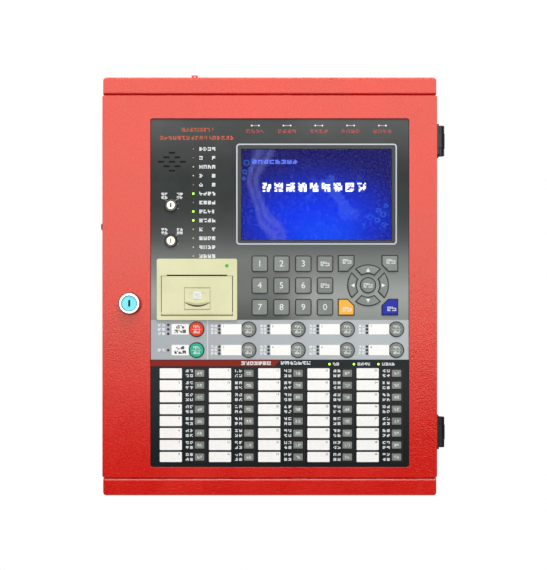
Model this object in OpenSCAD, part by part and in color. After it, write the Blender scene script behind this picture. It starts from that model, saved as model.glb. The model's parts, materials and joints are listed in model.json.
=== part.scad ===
// Wall-mounted fire alarm control panel: a folded steel cabinet, a hinged door that
// carries the control fascia, and the boards, supply and batteries inside.
// +Z is up, the front faces -Y, and the origin is the centre of the back face on the wall.

/* [Cabinet] */
// Outside width of the cabinet
cab_w = 398; // [390:1:500]
// Outside height of the cabinet with its two bands
cab_h = 500; // [496:1:620]
// Depth from the wall to the rim behind the door
cab_d = 118; // [110:1:180]
// Height of the band above and below the door
band_h = 20.5; // [14:0.5:26]
// Thickness of the cabinet's and the door's sheet steel
sheet = 1.5; // [1:0.1:1.8]
// Radius of the cabinet's long outer edges
cab_r = 4.5; // [3:0.5:8]
// Radius of the bends along the bands
band_r = 2.5; // [1.9:0.1:4]
// Width of the rim that frames the mouth
rim_w = 18; // [14:1:20]
// Hairline left where two of the cabinet's sheets meet at a weld
weld_seam = 0.1; // [0.05:0.05:0.3]
// How far each band runs back over the box before it ends inside it
band_back = 80; // [40:1:100]
// Radius of each of the four wall fixing holes
wall_hole_r = 3.5; // [2.5:0.25:4]
// Inset of the wall fixing holes from the side faces
wall_hole_x = 24; // [22:1:28]
// Inset of the wall fixing holes from the top and bottom faces
wall_hole_z = 40; // [34:1:42]
// Radius of each cable entry in the top
entry_r = 10.25; // [8:0.25:12.5]
// Spacing of the cable entries
entry_pitch = 60; // [40:1:70]
// Distance of the side gland from the wall; the cable entries are at half of it
entry_y = 60; // [55:1:80]

/* [Door] */
// Depth of the door pan
door_d = 20; // [18:0.5:28]
// Gap between the door and each band
door_gap = 1.2; // [0.8:0.1:2]
// How far the door stands past each side of the cabinet
door_lap = 1; // [0.5:0.1:1.5]
// Gap between the door's back edge and the rim, filled by the gasket
seam = 2; // [1.5:0.1:4]
// Corner radius of the door
door_r = 2.5; // [2:0.5:5]
// Width of the flange turned in at the door's back edge
door_lip = 12; // [8:1:14]
// Clearance left between the gasket and the rim
gasket_gap = 0.3; // [0.2:0.1:0.6]

/* [Hinges] */
// Height of a hinge
hinge_h = 36.5; // [30:0.5:46]
// Distance of each hinge from mid height
hinge_z = 176.5; // [140:0.5:190]
// Radius of the outer knuckles
knuckle_r = 5.5; // [4.5:0.1:5.5]
// Radius of the middle knuckle, which stands a little prouder
mid_knuckle_r = 6; // [5.6:0.1:6.2]
// Radius of the hinge pins
hinge_pin_r = 2; // [1.5:0.1:2.5]
// Distance of the hinge axis from the door's side face
hinge_out = 6.5; // [6.4:0.1:8]
// Thickness of the hinge leaves
leaf_t = 2.5; // [2:0.1:3]
// Running clearance around the pins and between knuckles
run_gap = 0.05; // [0.03:0.01:0.09]

/* [Fascia] */
// Visible width of the fascia
fascia_w = 309.3; // [306:0.1:316]
// Visible height of the fascia
fascia_h = 416.7; // [414:0.1:420]
// Thickness of the fascia
fascia_t = 3; // [2:0.1:4]
// How far the fascia reaches behind the door's front
fascia_lap = 6; // [4:0.5:7]
// Offset of the fascia to the right of the cabinet's centre
fascia_x = 12; // [0:0.5:16]
// Offset of the fascia below the cabinet's centre
fascia_down = 7.5; // [0:0.5:8]

/* [Keys] */
// Width of a keypad key
key_w = 17.4; // [14:0.1:21]
// Distance between keypad keys
key_pitch = 26; // [25:0.1:28]
// Width of a corner key
corner_w = 17.6; // [14:0.1:18]
// Radius of a round button
round_r = 8.2; // [6:0.1:9.5]
// Radius of the middle key of the cursor group
ok_r = 8.5; // [7:0.1:9]
// Inside radius of the cursor keys
arrow_in_r = 14.9; // [14.6:0.1:16]
// Outside radius of the cursor keys
arrow_out_r = 23.7; // [21:0.1:24]
// Gap around every key in the fascia
key_gap = 0.7; // [0.3:0.05:0.9]
// How far the keys stand out of the fascia
key_proud = 1.8; // [1:0.1:3]
// Travel of every key
key_travel = 1.2; // [0.6:0.1:1.5]
// Width of a zone key
zone_key_w = 11.2; // [9:0.1:12]
// Height of a zone key
zone_key_h = 8.2; // [6:0.1:9.8]

/* [Screen and sounder] */
// Width of the screen window
window_w = 188; // [180:1:192]
// Height of the screen window
window_h = 116.6; // [112:0.1:118]
// Height of the screen module behind the window
module_t = 6; // [5:0.1:7]
// Radius of the loudspeaker
speaker_r = 17; // [14:0.5:18]

/* [Printer] */
// Width of the printer's front frame
printer_w = 96; // [95:0.1:100]
// Height of the printer's front frame
printer_h = 73.3; // [72:0.1:76]
// Depth of the printer behind the fascia
printer_d = 48; // [44:1:60]
// Width of the paper cover
cover_w = 84.1; // [78:0.1:84.5]
// Height of the paper cover
cover_h = 46.9; // [42:0.1:48]
// Radius of a full paper roll
roll_r = 17; // [12:0.5:17]
// Width of the paper roll
roll_w = 57.5; // [50:0.5:60]

/* [Locks] */
// Radius of the door lock's bezel
lock_r = 14.2; // [12:0.1:16]
// Radius of the door lock's plug
lock_plug_r = 8.8; // [7:0.1:9]
// Radius of the door lock's barrel
lock_barrel_r = 10; // [9.5:0.1:11]
// How far the door lock stands out of the door
lock_proud = 9; // [5:0.5:12]
// Distance of the door lock from the door's left edge
lock_in = 33.3; // [31:0.1:36]
// Length of the lock's cam from its axis
cam_len = 24; // [22:0.5:28]
// Radius of a key switch's ring
switch_ring_r = 7.25; // [6.5:0.05:8.5]
// Radius of a key switch's plug
switch_plug_r = 4.8; // [4:0.1:5]

/* [Inside] */
// Width of one battery
battery_w = 151; // [140:1:160]
// Height of one battery
battery_h = 94; // [80:1:95]
// Depth of one battery
battery_d = 65; // [55:1:80]
// Width of the main board
board_w = 200; // [160:1:205]
// Height of the main board
board_h = 250; // [200:1:260]
// Width of the power supply
supply_w = 98; // [80:1:105]
// Height of the power supply
supply_h = 160; // [120:1:190]
// Depth of the power supply
supply_d = 38; // [30:1:48]

/* [Hidden] */
$fn = 48;
SLOT_FN = 24;                       // small repeated round shapes
e = 1;                              // how far a cut runs past the face it cuts

// The stack from the wall to the front, all as Y.
y_rim = -cab_d;
y_door_back = y_rim - seam;
y_front = y_door_back - door_d;
y_fascia = y_front + sheet;
y_fascia_back = y_fascia + fascia_t;

band_z = cab_h / 2 - band_h;        // the inner edge of each band
door_w = cab_w + 2 * door_lap;
door_h = 2 * (band_z - door_gap);
mouth_w = cab_w - 2 * rim_w;
mouth_h = 2 * band_z - rim_w;

fascia_z = -fascia_down;
back_face = -sheet;                 // the inside face of the cabinet's back
wall_hole_dx = cab_w - 2 * wall_hole_x;
wall_hole_dz = cab_h - 2 * wall_hole_z;

// Hinges
axis_x = door_w / 2 + hinge_out;
knuckle_gap = 0.3;
mid_h = hinge_h / 2;
end_h = (hinge_h - mid_h) / 2;
leaf_back = 28;                     // how far the cabinet leaf runs back along the side
tail_h = 6.5;

// Keys
flange_w = 1.3;                     // how far a key's flange reaches past its hole
flange_gap = 0.3;
flange_t = 1.4;
stem_r = 1.8;
board_gap = 7.5;                    // from the fascia's back to the boards
board_t = 1.6;
y_board = y_fascia_back + board_gap;
y_flange = y_fascia_back + flange_gap;
y_flange_back = y_flange + flange_t;
stop_gap = 0.25;                    // left between a stem and its switch at full travel
y_switch = y_board - 2.2;           // the tops of the switches under the keys
y_stem = y_switch - key_travel - stop_gap;
corner_cut = 7.4;
zone_gap = 0.3;                     // gap around a zone key
arrow_gap = 7.9;                    // width of the webs between the cursor keys

// Places on the fascia, measured from its centre
keypad_x = -23.9;
keypad_z = 34.6;
cursor_x = 105.5;
cursor_z = 8.9;
corner_off = 26.1;
strip_top = -32.5;
strip_bottom = -79.9;
strip_rows = [-43.7, -68.6];
round_x = -37.2;
round_pitch = 58.87;
first_round_x = -99.5;
zone_top = -96.3;
zone_pitch = 14.3;
zone_key_x = -95.9;
zone_card_x = -130.3;
screen_x = 44;
screen_z = 118;
speaker_x = -129;
speaker_z = 156.7;
switch_x = -130.1;
switch_rows = [104.6, 62.3];
led_x = -103.4;
led_top = 172;
led_pitch = 10.68;
pair_x = -29.3;
pair_pitch = 38;
pair_z = 200;
printer_x = -98.9;
printer_z = 4;
stack_x = -72.3;

// Printer
cover_t = 5;
cover_proud = 3;                    // how far the cover stands out of the fascia
cover_gap = 0.5;
frame_proud = 2.5;
shell_t = 2;
cover_low = -31.1;                  // the cover's bottom edge from the printer's centre
cover_axis_y = y_fascia - cover_proud + cover_t / 2;
cover_axis_z = printer_z + cover_low + cover_t / 2;
cover_pin_r = 1.2;
bay_w = cover_w + 2 * (cover_gap + 0.4);
bay_h = 63.3;
latch_w = 30.3;
latch_h = 25;
latch_t = 2;
latch_x = printer_x + 0.4;
latch_top = printer_z + 1.5;
latch_axis_y = y_fascia - cover_proud + 1.1;
latch_pin_r = 0.8;
roll_axis_y = y_fascia + 5 + roll_r;
roll_axis_z = printer_z - 11;
spindle_r = 6;

// Locks
lock_x = -door_w / 2 + lock_in;
lock_z = -20;
cam_t = 2.5;
y_cam = y_rim + sheet + 1;          // the cam turns just behind the rim
y_lock_back = y_cam - 1;
slot_w = 2.2;

KEYPAD = ["key_1", "key_2", "key_3", "key_isolate", "key_4", "key_5", "key_6", "key_test",
          "key_7", "key_8", "key_9", "key_0"];
CORNERS = ["key_exit", "key_delete", "key_reset", "key_silence"];
ARROWS = ["key_right", "key_up", "key_left", "key_down"];
CORNER_COLOURS = ["#8b928b", "#8b928b", "#f0a030", "#2030a0"];
KEY_GREY = "#8b928b";

// Every key: name, outline, place from the fascia's centre, turn, colour
KEYS = concat(
  [for (i = [0:11]) [KEYPAD[i], "square", keypad_x + (i % 4) * key_pitch,
                     keypad_z - floor(i / 4) * key_pitch, 0, KEY_GREY]],
  [["key_ok", "centre", cursor_x, cursor_z, 0, KEY_GREY]],
  [for (i = [0:3]) [ARROWS[i], "arrow", cursor_x, cursor_z, 90 * i, KEY_GREY]],
  [for (i = [0:3]) [CORNERS[i], "corner", cursor_x + corner_off * cos(90 * i + 45) * sqrt(2),
                    cursor_z + corner_off * sin(90 * i + 45) * sqrt(2), 90 * i,
                    CORNER_COLOURS[i]]],
  [["button_stop", "round", first_round_x, strip_rows[0], 0, "#d83018"]],
  [["button_start", "round", first_round_x, strip_rows[1], 0, "#28b088"]],
  [for (i = [0:7]) [str("button_output_", i + 1), "round", round_x + floor(i / 2) * round_pitch,
                    strip_rows[i % 2], 0, KEY_GREY]]);

ZONES = [for (c = [0:4], r = [0:7]) [c * round_pitch, zone_top - r * zone_pitch]];

// Flat things on the fascia: LED windows and label cards
LEDS = concat(
  [for (i = [0:12]) [led_x, led_top - i * led_pitch]],
  [for (i = [0:4], s = [-1, 1]) [pair_x + i * pair_pitch + s * 4.3, pair_z]],
  [for (c = [0:3], z = strip_rows, d = [-4.1, 0, 4.1]) [stack_x + c * round_pitch, z + d]],
  [for (d = [-5.3, 0, 5.3]) [-133.4, strip_rows[0] + d]],
  [[-133.4, strip_rows[1]]],
  [for (i = [0:2]) [59.4 + i * 29.3, -85.4]]);
CARDS = concat(
  [for (p = ZONES) [zone_card_x + p[0], p[1], 26.5, 12]],
  [for (c = [0:3], z = strip_rows) [-57.9 + c * round_pitch, z, 24.4, 12.4]],
  [for (z = strip_rows) [-119.1, z, 20.6, 12.6]]);

// ---- shapes shared by several pieces ----

// A rectangle with round corners, centred
module rrect(w, h, r) {
  square([w - 2 * r, h], center = true);
  square([w, h - 2 * r], center = true);
  for (x = [-1, 1], z = [-1, 1])
    translate([x * (w / 2 - r), z * (h / 2 - r)]) circle(r);
}

// A front outline drawn in X and Z, given depth from front to back along Y
module deep(front, back) {
  translate([0, back, 0]) rotate([90, 0, 0]) linear_extrude(back - front) children();
}

// A side outline drawn in Y and Z, given a width along X and centred
module across(w) {
  translate([-w / 2, 0, 0]) rotate([90, 0, 90]) linear_extrude(w) children();
}

module on_fascia(x, z) {
  translate([fascia_x + x, 0, fascia_z + z]) children();
}

module at_hinges() {
  for (s = [-1, 1]) translate([axis_x, y_door_back, s * hinge_z]) upside_down_below(s) children();
}

// The lower hinge is the upper one upside down
module upside_down_below(s) {
  if (s > 0) children();
  else mirror([0, 0, 1]) children();
}

// ---- cabinet ----

// The cabinet's side outline: box and two bands, shrunk by t
module cabinet_outline(t) {
  r = band_r - t;
  translate([-cab_d / 2, 0]) square([cab_d - 2 * t, cab_h - 2 * t], center = true);
  for (s = [-1, 1])
    translate([y_front + band_back / 2, s * (cab_h / 2 - band_h / 2)])
      rrect(band_back - 2 * t, band_h - 2 * t, r > 0.3 ? r : 0.3);
}

// Hairlines that part the welded shell into flat sheets, bands and rim strips
module weld_seams() {
  for (y = [-sheet - weld_seam, y_rim - weld_seam, y_rim + sheet])
    deep(y, y + weld_seam) square([2 * cab_w, 2 * cab_h], center = true);
  for (s = [-1, 1]) {
    translate([s * (cab_w / 2 - cab_r) - weld_seam / 2, y_rim + sheet, -cab_h])
      cube([weld_seam, cab_d - 2 * sheet, 2 * cab_h]);
    translate([s * mouth_w / 2 - weld_seam / 2, y_rim - e, -cab_h])
      cube([weld_seam, sheet + 2 * e, 2 * cab_h]);
  }
}

module cabinet_shell() {
  color("#d8140c") {
    difference() {
      intersection() {
        across(cab_w) cabinet_outline(0);
        deep(y_front - e, 0) rrect(cab_w, cab_h, cab_r);
      }
      intersection() {
        across(cab_w - 2 * sheet) cabinet_outline(sheet);
        deep(y_front, 0) rrect(cab_w - 2 * sheet, cab_h - 2 * sheet, cab_r - sheet);
      }
      deep(y_rim - e, y_rim + sheet + e) rrect(mouth_w, mouth_h, 4);
      for (x = [-1, 1], z = [-1, 1])
        deep(back_face - e, e)
          translate([x * wall_hole_dx / 2, z * wall_hole_dz / 2]) circle(wall_hole_r);
      translate([0, -entry_y / 2, cab_h / 2])
        cube([plate_w - 2 * plate_lap, plate_d - 2 * plate_lap, 2 * sheet + e], center = true);
      translate([-cab_w / 2 - e, -entry_y, gland_z])
        rotate([0, 90, 0]) cylinder(r = gland_r, h = sheet + 2 * e);
      weld_seams();
    }
    seal_lug();
  }
}

// A bolted plate over the cut-out in the top, with the cable entries
plate_lap = 8;                       // how far the plate rests on the top around its cut-out
plate_d = 2 * (entry_r + plate_lap + 6);
plate_w = 2 * (entry_pitch + entry_r + plate_lap + 20);
module gland_plate() {
  color("#c8140c") translate([0, -entry_y / 2, cab_h / 2]) difference() {
    linear_extrude(sheet) rrect(plate_w, plate_d, 4);
    for (i = [-1:1])
      translate([i * entry_pitch, 0, -e]) cylinder(r = entry_r, h = sheet + 2 * e);
  }
}

// A small drilled lug on the top band for a wire seal
lug_w = 7.5;
lug_h = 4.5;
lug_hole_r = 1;
module seal_lug() {
  translate([-cab_w / 4 + 9, (y_front + y_rim) / 2, cab_h / 2])
    deep(-sheet / 2, sheet / 2) difference() {
      translate([-lug_w / 2, -sheet / 2]) square([lug_w, lug_h + sheet / 2]);
      translate([0, lug_h - 2 * lug_hole_r]) circle(lug_hole_r);
    }
}

// Both hinges' fixed leaves, on the cabinet's right side, with the pins staked in them
module hinge_fixed_leaves() {
  side = cab_w / 2 - axis_x;         // the side face, from the hinge axis
  web_y = knuckle_r;
  color("#202220") at_hinges() difference() {
    union() {
      for (s = [-1, 1])
        translate([0, 0, s * (hinge_h - end_h) / 2])
          knuckle(knuckle_r, end_h - knuckle_gap, side + leaf_t / 2, 0, web_y);
      translate([side, seam + 4, -hinge_h / 2]) cube([leaf_t, leaf_back, hinge_h]);
      translate([side, web_y + leaf_back / 2, -hinge_h / 2]) hinge_tail();
      for (s = [-1, 1])
        translate([side, seam + 3, s * (hinge_h - end_h) / 2 - (end_h - knuckle_gap) / 2])
          cube([leaf_t * 2, 6, end_h - knuckle_gap]);
    }
    cylinder(r = hinge_pin_r, h = hinge_h + 2 * e, center = true);
  }
  color("silver") at_hinges() cylinder(r = hinge_pin_r, h = hinge_h - 1, center = true);
}

// The pointed end of a fixed leaf, toward the middle of the cabinet
module hinge_tail() {
  rotate([90, 0, 0]) linear_extrude(leaf_back / 2)
    polygon([[0, 0.5], [8, 0.5], [leaf_t, -tail_h + 1], [0, -tail_h]]);
}

// One knuckle with the web that joins it to its leaf: x_leaf to the axis, y_lo to y_hi
module knuckle(r, h, x_leaf, y_lo, y_hi) {
  cylinder(r = r, h = h, center = true);
  translate([x_leaf, y_lo, -h / 2]) cube([-x_leaf, y_hi - y_lo, h]);
}

module hinge_door_leaves() {
  side = -hinge_out;                 // the door's side face, from the hinge axis
  color("#202220") at_hinges() difference() {
    union() {
      knuckle(mid_knuckle_r, mid_h - knuckle_gap, side + leaf_t / 2, -mid_knuckle_r, 0);
      translate([side, -door_d + 2, -hinge_h / 2]) cube([leaf_t, door_d - 7.5, hinge_h]);
      translate([side, -door_d / 2, -mid_h / 2 + knuckle_gap / 2])
        cube([leaf_t, door_d / 2 - 1.5, mid_h - knuckle_gap]);
    }
    cylinder(r = hinge_pin_r + run_gap, h = hinge_h, center = true);
  }
}

// ---- inside the cabinet ----

board_x = cab_w / 2 - 39 - board_w / 2;
board_z = cab_h / 2 - 45 - board_h / 2;
post_h = 12;
y_main = back_face - post_h;         // the main board's back face

module main_board() {
  color("#1f6b3a") {
    translate([board_x, 0, board_z]) {
      deep(y_main - board_t, y_main) rrect(board_w, board_h, 3);
      for (x = [-1, 1], z = [-1, 0, 1])
        deep(y_main, back_face) translate([x * (board_w / 2 - 8), z * (board_h / 2 - 8)])
          circle(3, $fn = SLOT_FN);
      for (i = [0:3])
        board_block(-board_w / 2 + 34 + i * 38, 75, 24, 24, 4);
      for (i = [0:5])
        board_block(-board_w / 2 + 26 + i * 28, 8, 20, 16, 16);
      board_block(0, -42, 90, 34, 6);
      for (i = [0:4])
        deep(y_main - board_t - 20, y_main - board_t)
          translate([-board_w / 2 + 24 + i * 16, 108]) circle(5, $fn = SLOT_FN);
    }
  }
}

module board_block(x, z, w, h, t) {
  deep(y_main - board_t - t, y_main - board_t) translate([x, z]) square([w, h], center = true);
}

// A row of plug-in terminals along the board's lower edge
terminal_n = 8;
terminal_pitch = 22;
module terminal_blocks() {
  y_face = y_main - board_t;
  color("#2f9a4a")
    for (i = [0:terminal_n - 1])
      translate([board_x + (i - (terminal_n - 1) / 2) * terminal_pitch, 0,
                 board_z - board_h / 2 + 16])
        difference() {
          deep(y_face - 16, y_face) square([20, 14], center = true);
          for (j = [-1:1])
            deep(y_face - 16 - e, y_face - 10)
              translate([j * 6.2, 1.5]) circle(2, $fn = SLOT_FN);
        }
}

supply_x = board_x - board_w / 2 - supply_w / 2 - 8;
supply_z = cab_h / 2 - 45 - supply_h / 2;
module power_supply() {
  color("#b8bcc0") translate([supply_x, 0, supply_z]) {
    difference() {
      deep(back_face - supply_d, back_face) square([supply_w, supply_h], center = true);
      for (x = [-4:4], z = [-5:4])
        deep(back_face - supply_d - e, back_face - supply_d + 1.5)
          translate([x * 9, z * 9 + 12]) circle(2.5, $fn = SLOT_FN);
      deep(back_face - supply_d - e, back_face - supply_d / 2)
        translate([0, -supply_h / 2]) square([supply_w - 8, 40], center = true);
    }
    deep(back_face - supply_d * 0.75, back_face - supply_d / 2)
      translate([0, -supply_h / 2 + 12]) square([supply_w - 20, 14], center = true);
  }
}

battery_floor = -cab_h / 2 + sheet;
battery_side = 3;                    // half the space between the two batteries
module batteries() {
  color("#3a3f45")
    for (s = [-1, 1]) translate([s * (battery_w / 2 + battery_side), 0, battery_floor]) {
      deep(back_face - battery_d, back_face)
        translate([-battery_w / 2, 0]) square([battery_w, battery_h]);
      for (t = [-1, 1])
        translate([t * (battery_w / 2 - 12) - 3, back_face - 18, battery_h])
          cube([6, 1, 6]);
    }
}

bracket_t = 1.8;
bracket_h = 20;
module battery_bracket() {
  half = battery_w + battery_side + 1;
  y_strap = back_face - battery_d;
  color("#c8ccd0") translate([0, 0, battery_floor + battery_h * 0.62]) {
    translate([-half - bracket_t, y_strap - bracket_t, 0])
      cube([2 * (half + bracket_t), bracket_t, bracket_h]);
    for (s = [0, 1]) mirror([s, 0, 0]) difference() {
      union() {
        translate([half, y_strap - bracket_t, 0])
          cube([bracket_t, battery_d + bracket_t, bracket_h]);
        translate([half, back_face - bracket_t, 0]) cube([16, bracket_t, bracket_h]);
      }
      translate([half + 10, back_face + e, bracket_h / 2])
        rotate([90, 0, 0]) cylinder(r = 2.2, h = bracket_t + 2 * e);
    }
  }
}

gland_r = 4;
gland_z = 76;
gland_out = 16;
module cable_gland() {
  color("#1c1c1c") translate([-cab_w / 2, -entry_y, gland_z]) rotate([0, -90, 0])
    difference() {
      union() {
        translate([0, 0, -sheet]) cylinder(r = gland_r, h = sheet + e);
        cylinder(r = 6.4, h = 5, $fn = 6);
        translate([0, 0, 5]) cylinder(r1 = 5.4, r2 = 4.2, h = gland_out - 5);
        translate([0, 0, -sheet - 4]) cylinder(r = gland_r, h = 4);
        translate([0, 0, -sheet - 3]) cylinder(r = 6.4, h = 3, $fn = 6);
      }
      translate([0, 0, -sheet - 4 - e]) cylinder(r = 2, h = gland_out + sheet + 4 + 2 * e);
    }
}

// ---- door ----

module door_shell() {
  color("#d8140c") difference() {
    deep(y_front, y_door_back) rrect(door_w, door_h, door_r);
    deep(y_front + sheet, y_door_back - sheet)
      rrect(door_w - 2 * sheet, door_h - 2 * sheet, door_r - sheet / 2);
    deep(y_door_back - sheet - e, y_door_back + e)
      rrect(door_w - 2 * door_lip, door_h - 2 * door_lip, 4);
    on_fascia(0, 0) deep(y_front - e, y_front + sheet + e) rrect(fascia_w, fascia_h, 3);
    deep(y_front - e, y_front + sheet + e) translate([lock_x, lock_z]) circle(lock_barrel_r);
  }
}

module door_gasket() {
  color("#222222") deep(y_door_back, y_rim - gasket_gap) difference() {
    rrect(door_w - 4, door_h - 4, door_r);
    rrect(door_w - 2 * door_lip, door_h - 2 * door_lip, 4);
  }
}

// ---- keys ----

// The outline of a key of the given kind, grown by g
module key_outline(kind, turn, g) {
  rotate(turn)
    if (kind == "square") rrect(key_w + 2 * g, key_w + 2 * g, 1.6 + g);
    else if (kind == "round") circle(round_r + g);
    else if (kind == "centre") circle(ok_r + g);
    else if (kind == "arrow") arrow_outline(g);
    else if (kind == "corner") corner_outline(g);
}

// A quarter of a ring about +X, with straight sides parallel to the diagonals
module arrow_outline(g) {
  back = (arrow_gap / 2 - g) * sqrt(2);
  reach = arrow_out_r + 10;
  intersection() {
    difference() {
      circle(arrow_out_r + g);
      circle(arrow_in_r - g);
    }
    polygon([[back, 0], [back + reach, reach], [back + reach, -reach]]);
  }
}

// A square with its corner toward -X and -Z cut off
module corner_outline(g) {
  h = corner_w / 2 + g;
  c = corner_cut + g * (2 - sqrt(2));
  polygon([[c - h, -h], [h, -h], [h, h], [-h, h], [-h, c - h]]);
}

module push_key(k) {
  color(k[5]) on_fascia(k[2], k[3]) {
    deep(y_fascia - key_proud, y_flange) key_outline(k[1], k[4], 0);
    deep(y_flange, y_flange_back) key_outline(k[1], k[4], key_gap + flange_w);
    deep(y_flange_back, y_stem) stem_place(k) circle(stem_r, $fn = SLOT_FN);
  }
}

// A cursor key's stem is under the middle of its arc
module stem_place(k) {
  r = k[1] == "arrow" ? (arrow_in_r + arrow_out_r) / 2 : 0;
  rotate(k[4]) translate([r, 0]) children();
}

module zone_outline(g) {
  rrect(zone_key_w + 2 * g, zone_key_h + 2 * g, 0.8 + g);
}

module zone_keys() {
  color(KEY_GREY)
    for (p = ZONES) on_fascia(zone_key_x + p[0], p[1]) {
      deep(y_fascia - key_proud * 0.6, y_flange) zone_outline(0);
      deep(y_flange, y_flange_back) zone_outline(zone_gap + flange_w * 0.8);
      deep(y_flange_back, y_stem) circle(stem_r, $fn = SLOT_FN);
    }
}

// ---- fascia and what is fixed to it ----

module fascia_outline() {
  difference() {
    rrect(fascia_w + 2 * fascia_lap, fascia_h + 2 * fascia_lap, 4);
    for (k = KEYS) translate([k[2], k[3]]) key_outline(k[1], k[4], key_gap);
    for (p = ZONES) translate([zone_key_x + p[0], p[1]]) zone_outline(zone_gap);
    translate([screen_x, screen_z]) rrect(window_w, window_h, 2);
    translate([printer_x, printer_z]) square([bay_w + 2 * shell_t, bay_h + 2 * shell_t],
                                             center = true);
    for (z = switch_rows) translate([switch_x, z]) circle(switch_body_r);
    translate([speaker_x, speaker_z]) speaker_slots();
  }
}

// A diamond of nine sound slots
slot_l = 7.9;
slot_h = 2.3;
slot_dx = 13.1;
slot_dz = 5.35;
module speaker_slots() {
  for (i = [-2:2], j = [0:2 - abs(i)])
    translate([(j - (2 - abs(i)) / 2) * slot_dx, i * slot_dz]) {
      square([slot_l - slot_h, slot_h], center = true);
      for (s = [-1, 1]) translate([s * (slot_l - slot_h) / 2, 0])
        circle(slot_h / 2, $fn = SLOT_FN);
    }
}

module fascia_panel() {
  color("#50585a") on_fascia(0, 0) deep(y_fascia, y_fascia_back) fascia_outline();
}

module lcd_window() {
  color([0.1, 0.12, 0.2, 0.6]) on_fascia(screen_x, screen_z)
    deep(y_fascia + 0.2, y_fascia_back) rrect(window_w, window_h, 2);
}

module_lap = 6;                      // how far the screen module reaches past its window
module lcd_module() {
  color("#2850e0") on_fascia(screen_x, screen_z)
    deep(y_fascia_back, y_fascia_back + module_t)
      square([window_w + 2 * module_lap, window_h + 2 * module_lap], center = true);
}

// The boards behind the keys and the indicators, with a switch under each key
module display_board() {
  low = -fascia_h / 2 + 6;
  top = pair_z + 6;
  color("#1d5c34") on_fascia(0, 0) {
    deep(y_board, y_board + board_t) {
      translate([-150, low]) square([300, -36 - low]);
      translate([-46, -37]) square([196, 87]);
      translate([-110, 42]) square([50, top - 42]);
      translate([-61, top - 15]) square([200, 15]);
    }
    for (k = KEYS)
      translate([k[2], 0, k[3]]) deep(y_switch, y_board)
        stem_place(k) square(6, center = true);
    for (p = ZONES)
      translate([zone_key_x + p[0], 0, p[1]]) deep(y_switch, y_board) square(6, center = true);
    for (p = [[-146, low + 4], [-12, low + 4], [105, low + 4], [-146, -41], [110, -56],
              [-41, 20], [cursor_x, 46], [-105, 47], [-105, top - 4], [134, top - 4]])
      translate([p[0], 0, p[1]])
        deep(y_fascia_back, y_board) circle(2.5, $fn = SLOT_FN);
  }
}

// Domed LED windows, bonded on the fascia
led_r = 1.3;
led_h = 0.5;
module led_lenses() {
  color("#40c040")
    for (p = LEDS) on_fascia(p[0], p[1])
      deep(y_fascia - led_h, y_fascia) circle(led_r, $fn = 16);
}

card_t = 0.3;
module label_cards() {
  color("white")
    for (c = CARDS) on_fascia(c[0], c[1])
      deep(y_fascia - card_t, y_fascia) rrect(c[2], c[3], 1);
}

module speaker() {
  color("#303438") on_fascia(speaker_x, speaker_z) {
    deep(y_fascia_back, y_fascia_back + 4) circle(speaker_r);
    translate([0, y_fascia_back + 4, 0]) rotate([-90, 0, 0])
      cylinder(r1 = speaker_r - 2, r2 = speaker_r / 2, h = 6);
    deep(y_fascia_back + 10, y_fascia_back + 15) circle(speaker_r * 0.6);
  }
}

// ---- key switches and door lock ----

switch_body_r = 6;
switch_proud = 2;
switch_d = 18;
module key_switch_bodies() {
  color("#c8ccd0")
    for (z = switch_rows) on_fascia(switch_x, z) difference() {
      union() {
        deep(y_fascia - switch_proud, y_fascia) circle(switch_ring_r);
        deep(y_fascia, y_fascia + switch_d) circle(switch_body_r);
        deep(y_fascia_back, y_fascia_back + 3) circle(8, $fn = 6);
      }
      deep(y_fascia - switch_proud - e, y_fascia + switch_d + e)
        circle(switch_plug_r + run_gap);
    }
}

module switch_plug(z) {
  color("#a8acb0") on_fascia(switch_x, z) difference() {
    deep(y_fascia - switch_proud - 0.6, y_fascia + switch_d + 2) circle(switch_plug_r);
    deep(y_fascia - switch_proud - 0.6 - e, y_fascia + 3) square([1.6, 5.4], center = true);
  }
}

module key_switch_upper() {
  switch_plug(switch_rows[0]);
}

module key_switch_lower() {
  switch_plug(switch_rows[1]);
}

module cam_lock_body() {
  color("#c8ccd0") translate([lock_x, 0, lock_z]) difference() {
    union() {
      translate([0, y_front, 0]) rotate([90, 0, 0])
        cylinder(r1 = lock_r, r2 = lock_r - 2.2, h = lock_proud);
      deep(y_front, y_lock_back) circle(lock_barrel_r);
      deep(y_front + sheet, y_front + sheet + 4) circle(lock_barrel_r + 5, $fn = 6);
    }
    deep(y_front - lock_proud - e, y_lock_back + e) circle(lock_plug_r + run_gap);
  }
}

// The plug with its cam, drawn unlocked: the cam hangs down, clear of the rim
module cam_lock_plug() {
  color("#40b8d0") translate([lock_x, 0, lock_z]) difference() {
    union() {
      deep(y_front - lock_proud + 1.2, y_cam) circle(lock_plug_r);
      deep(y_cam, y_cam + cam_t) {
        circle(lock_plug_r);
        translate([-7, -cam_len + 5]) square([14, cam_len - 5]);
        translate([-5, -cam_len]) square([10, 6]);
      }
    }
    deep(y_front - lock_proud, y_front - lock_proud + 6) square([slot_w, 8], center = true);
  }
}

// ---- printer ----

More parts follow.
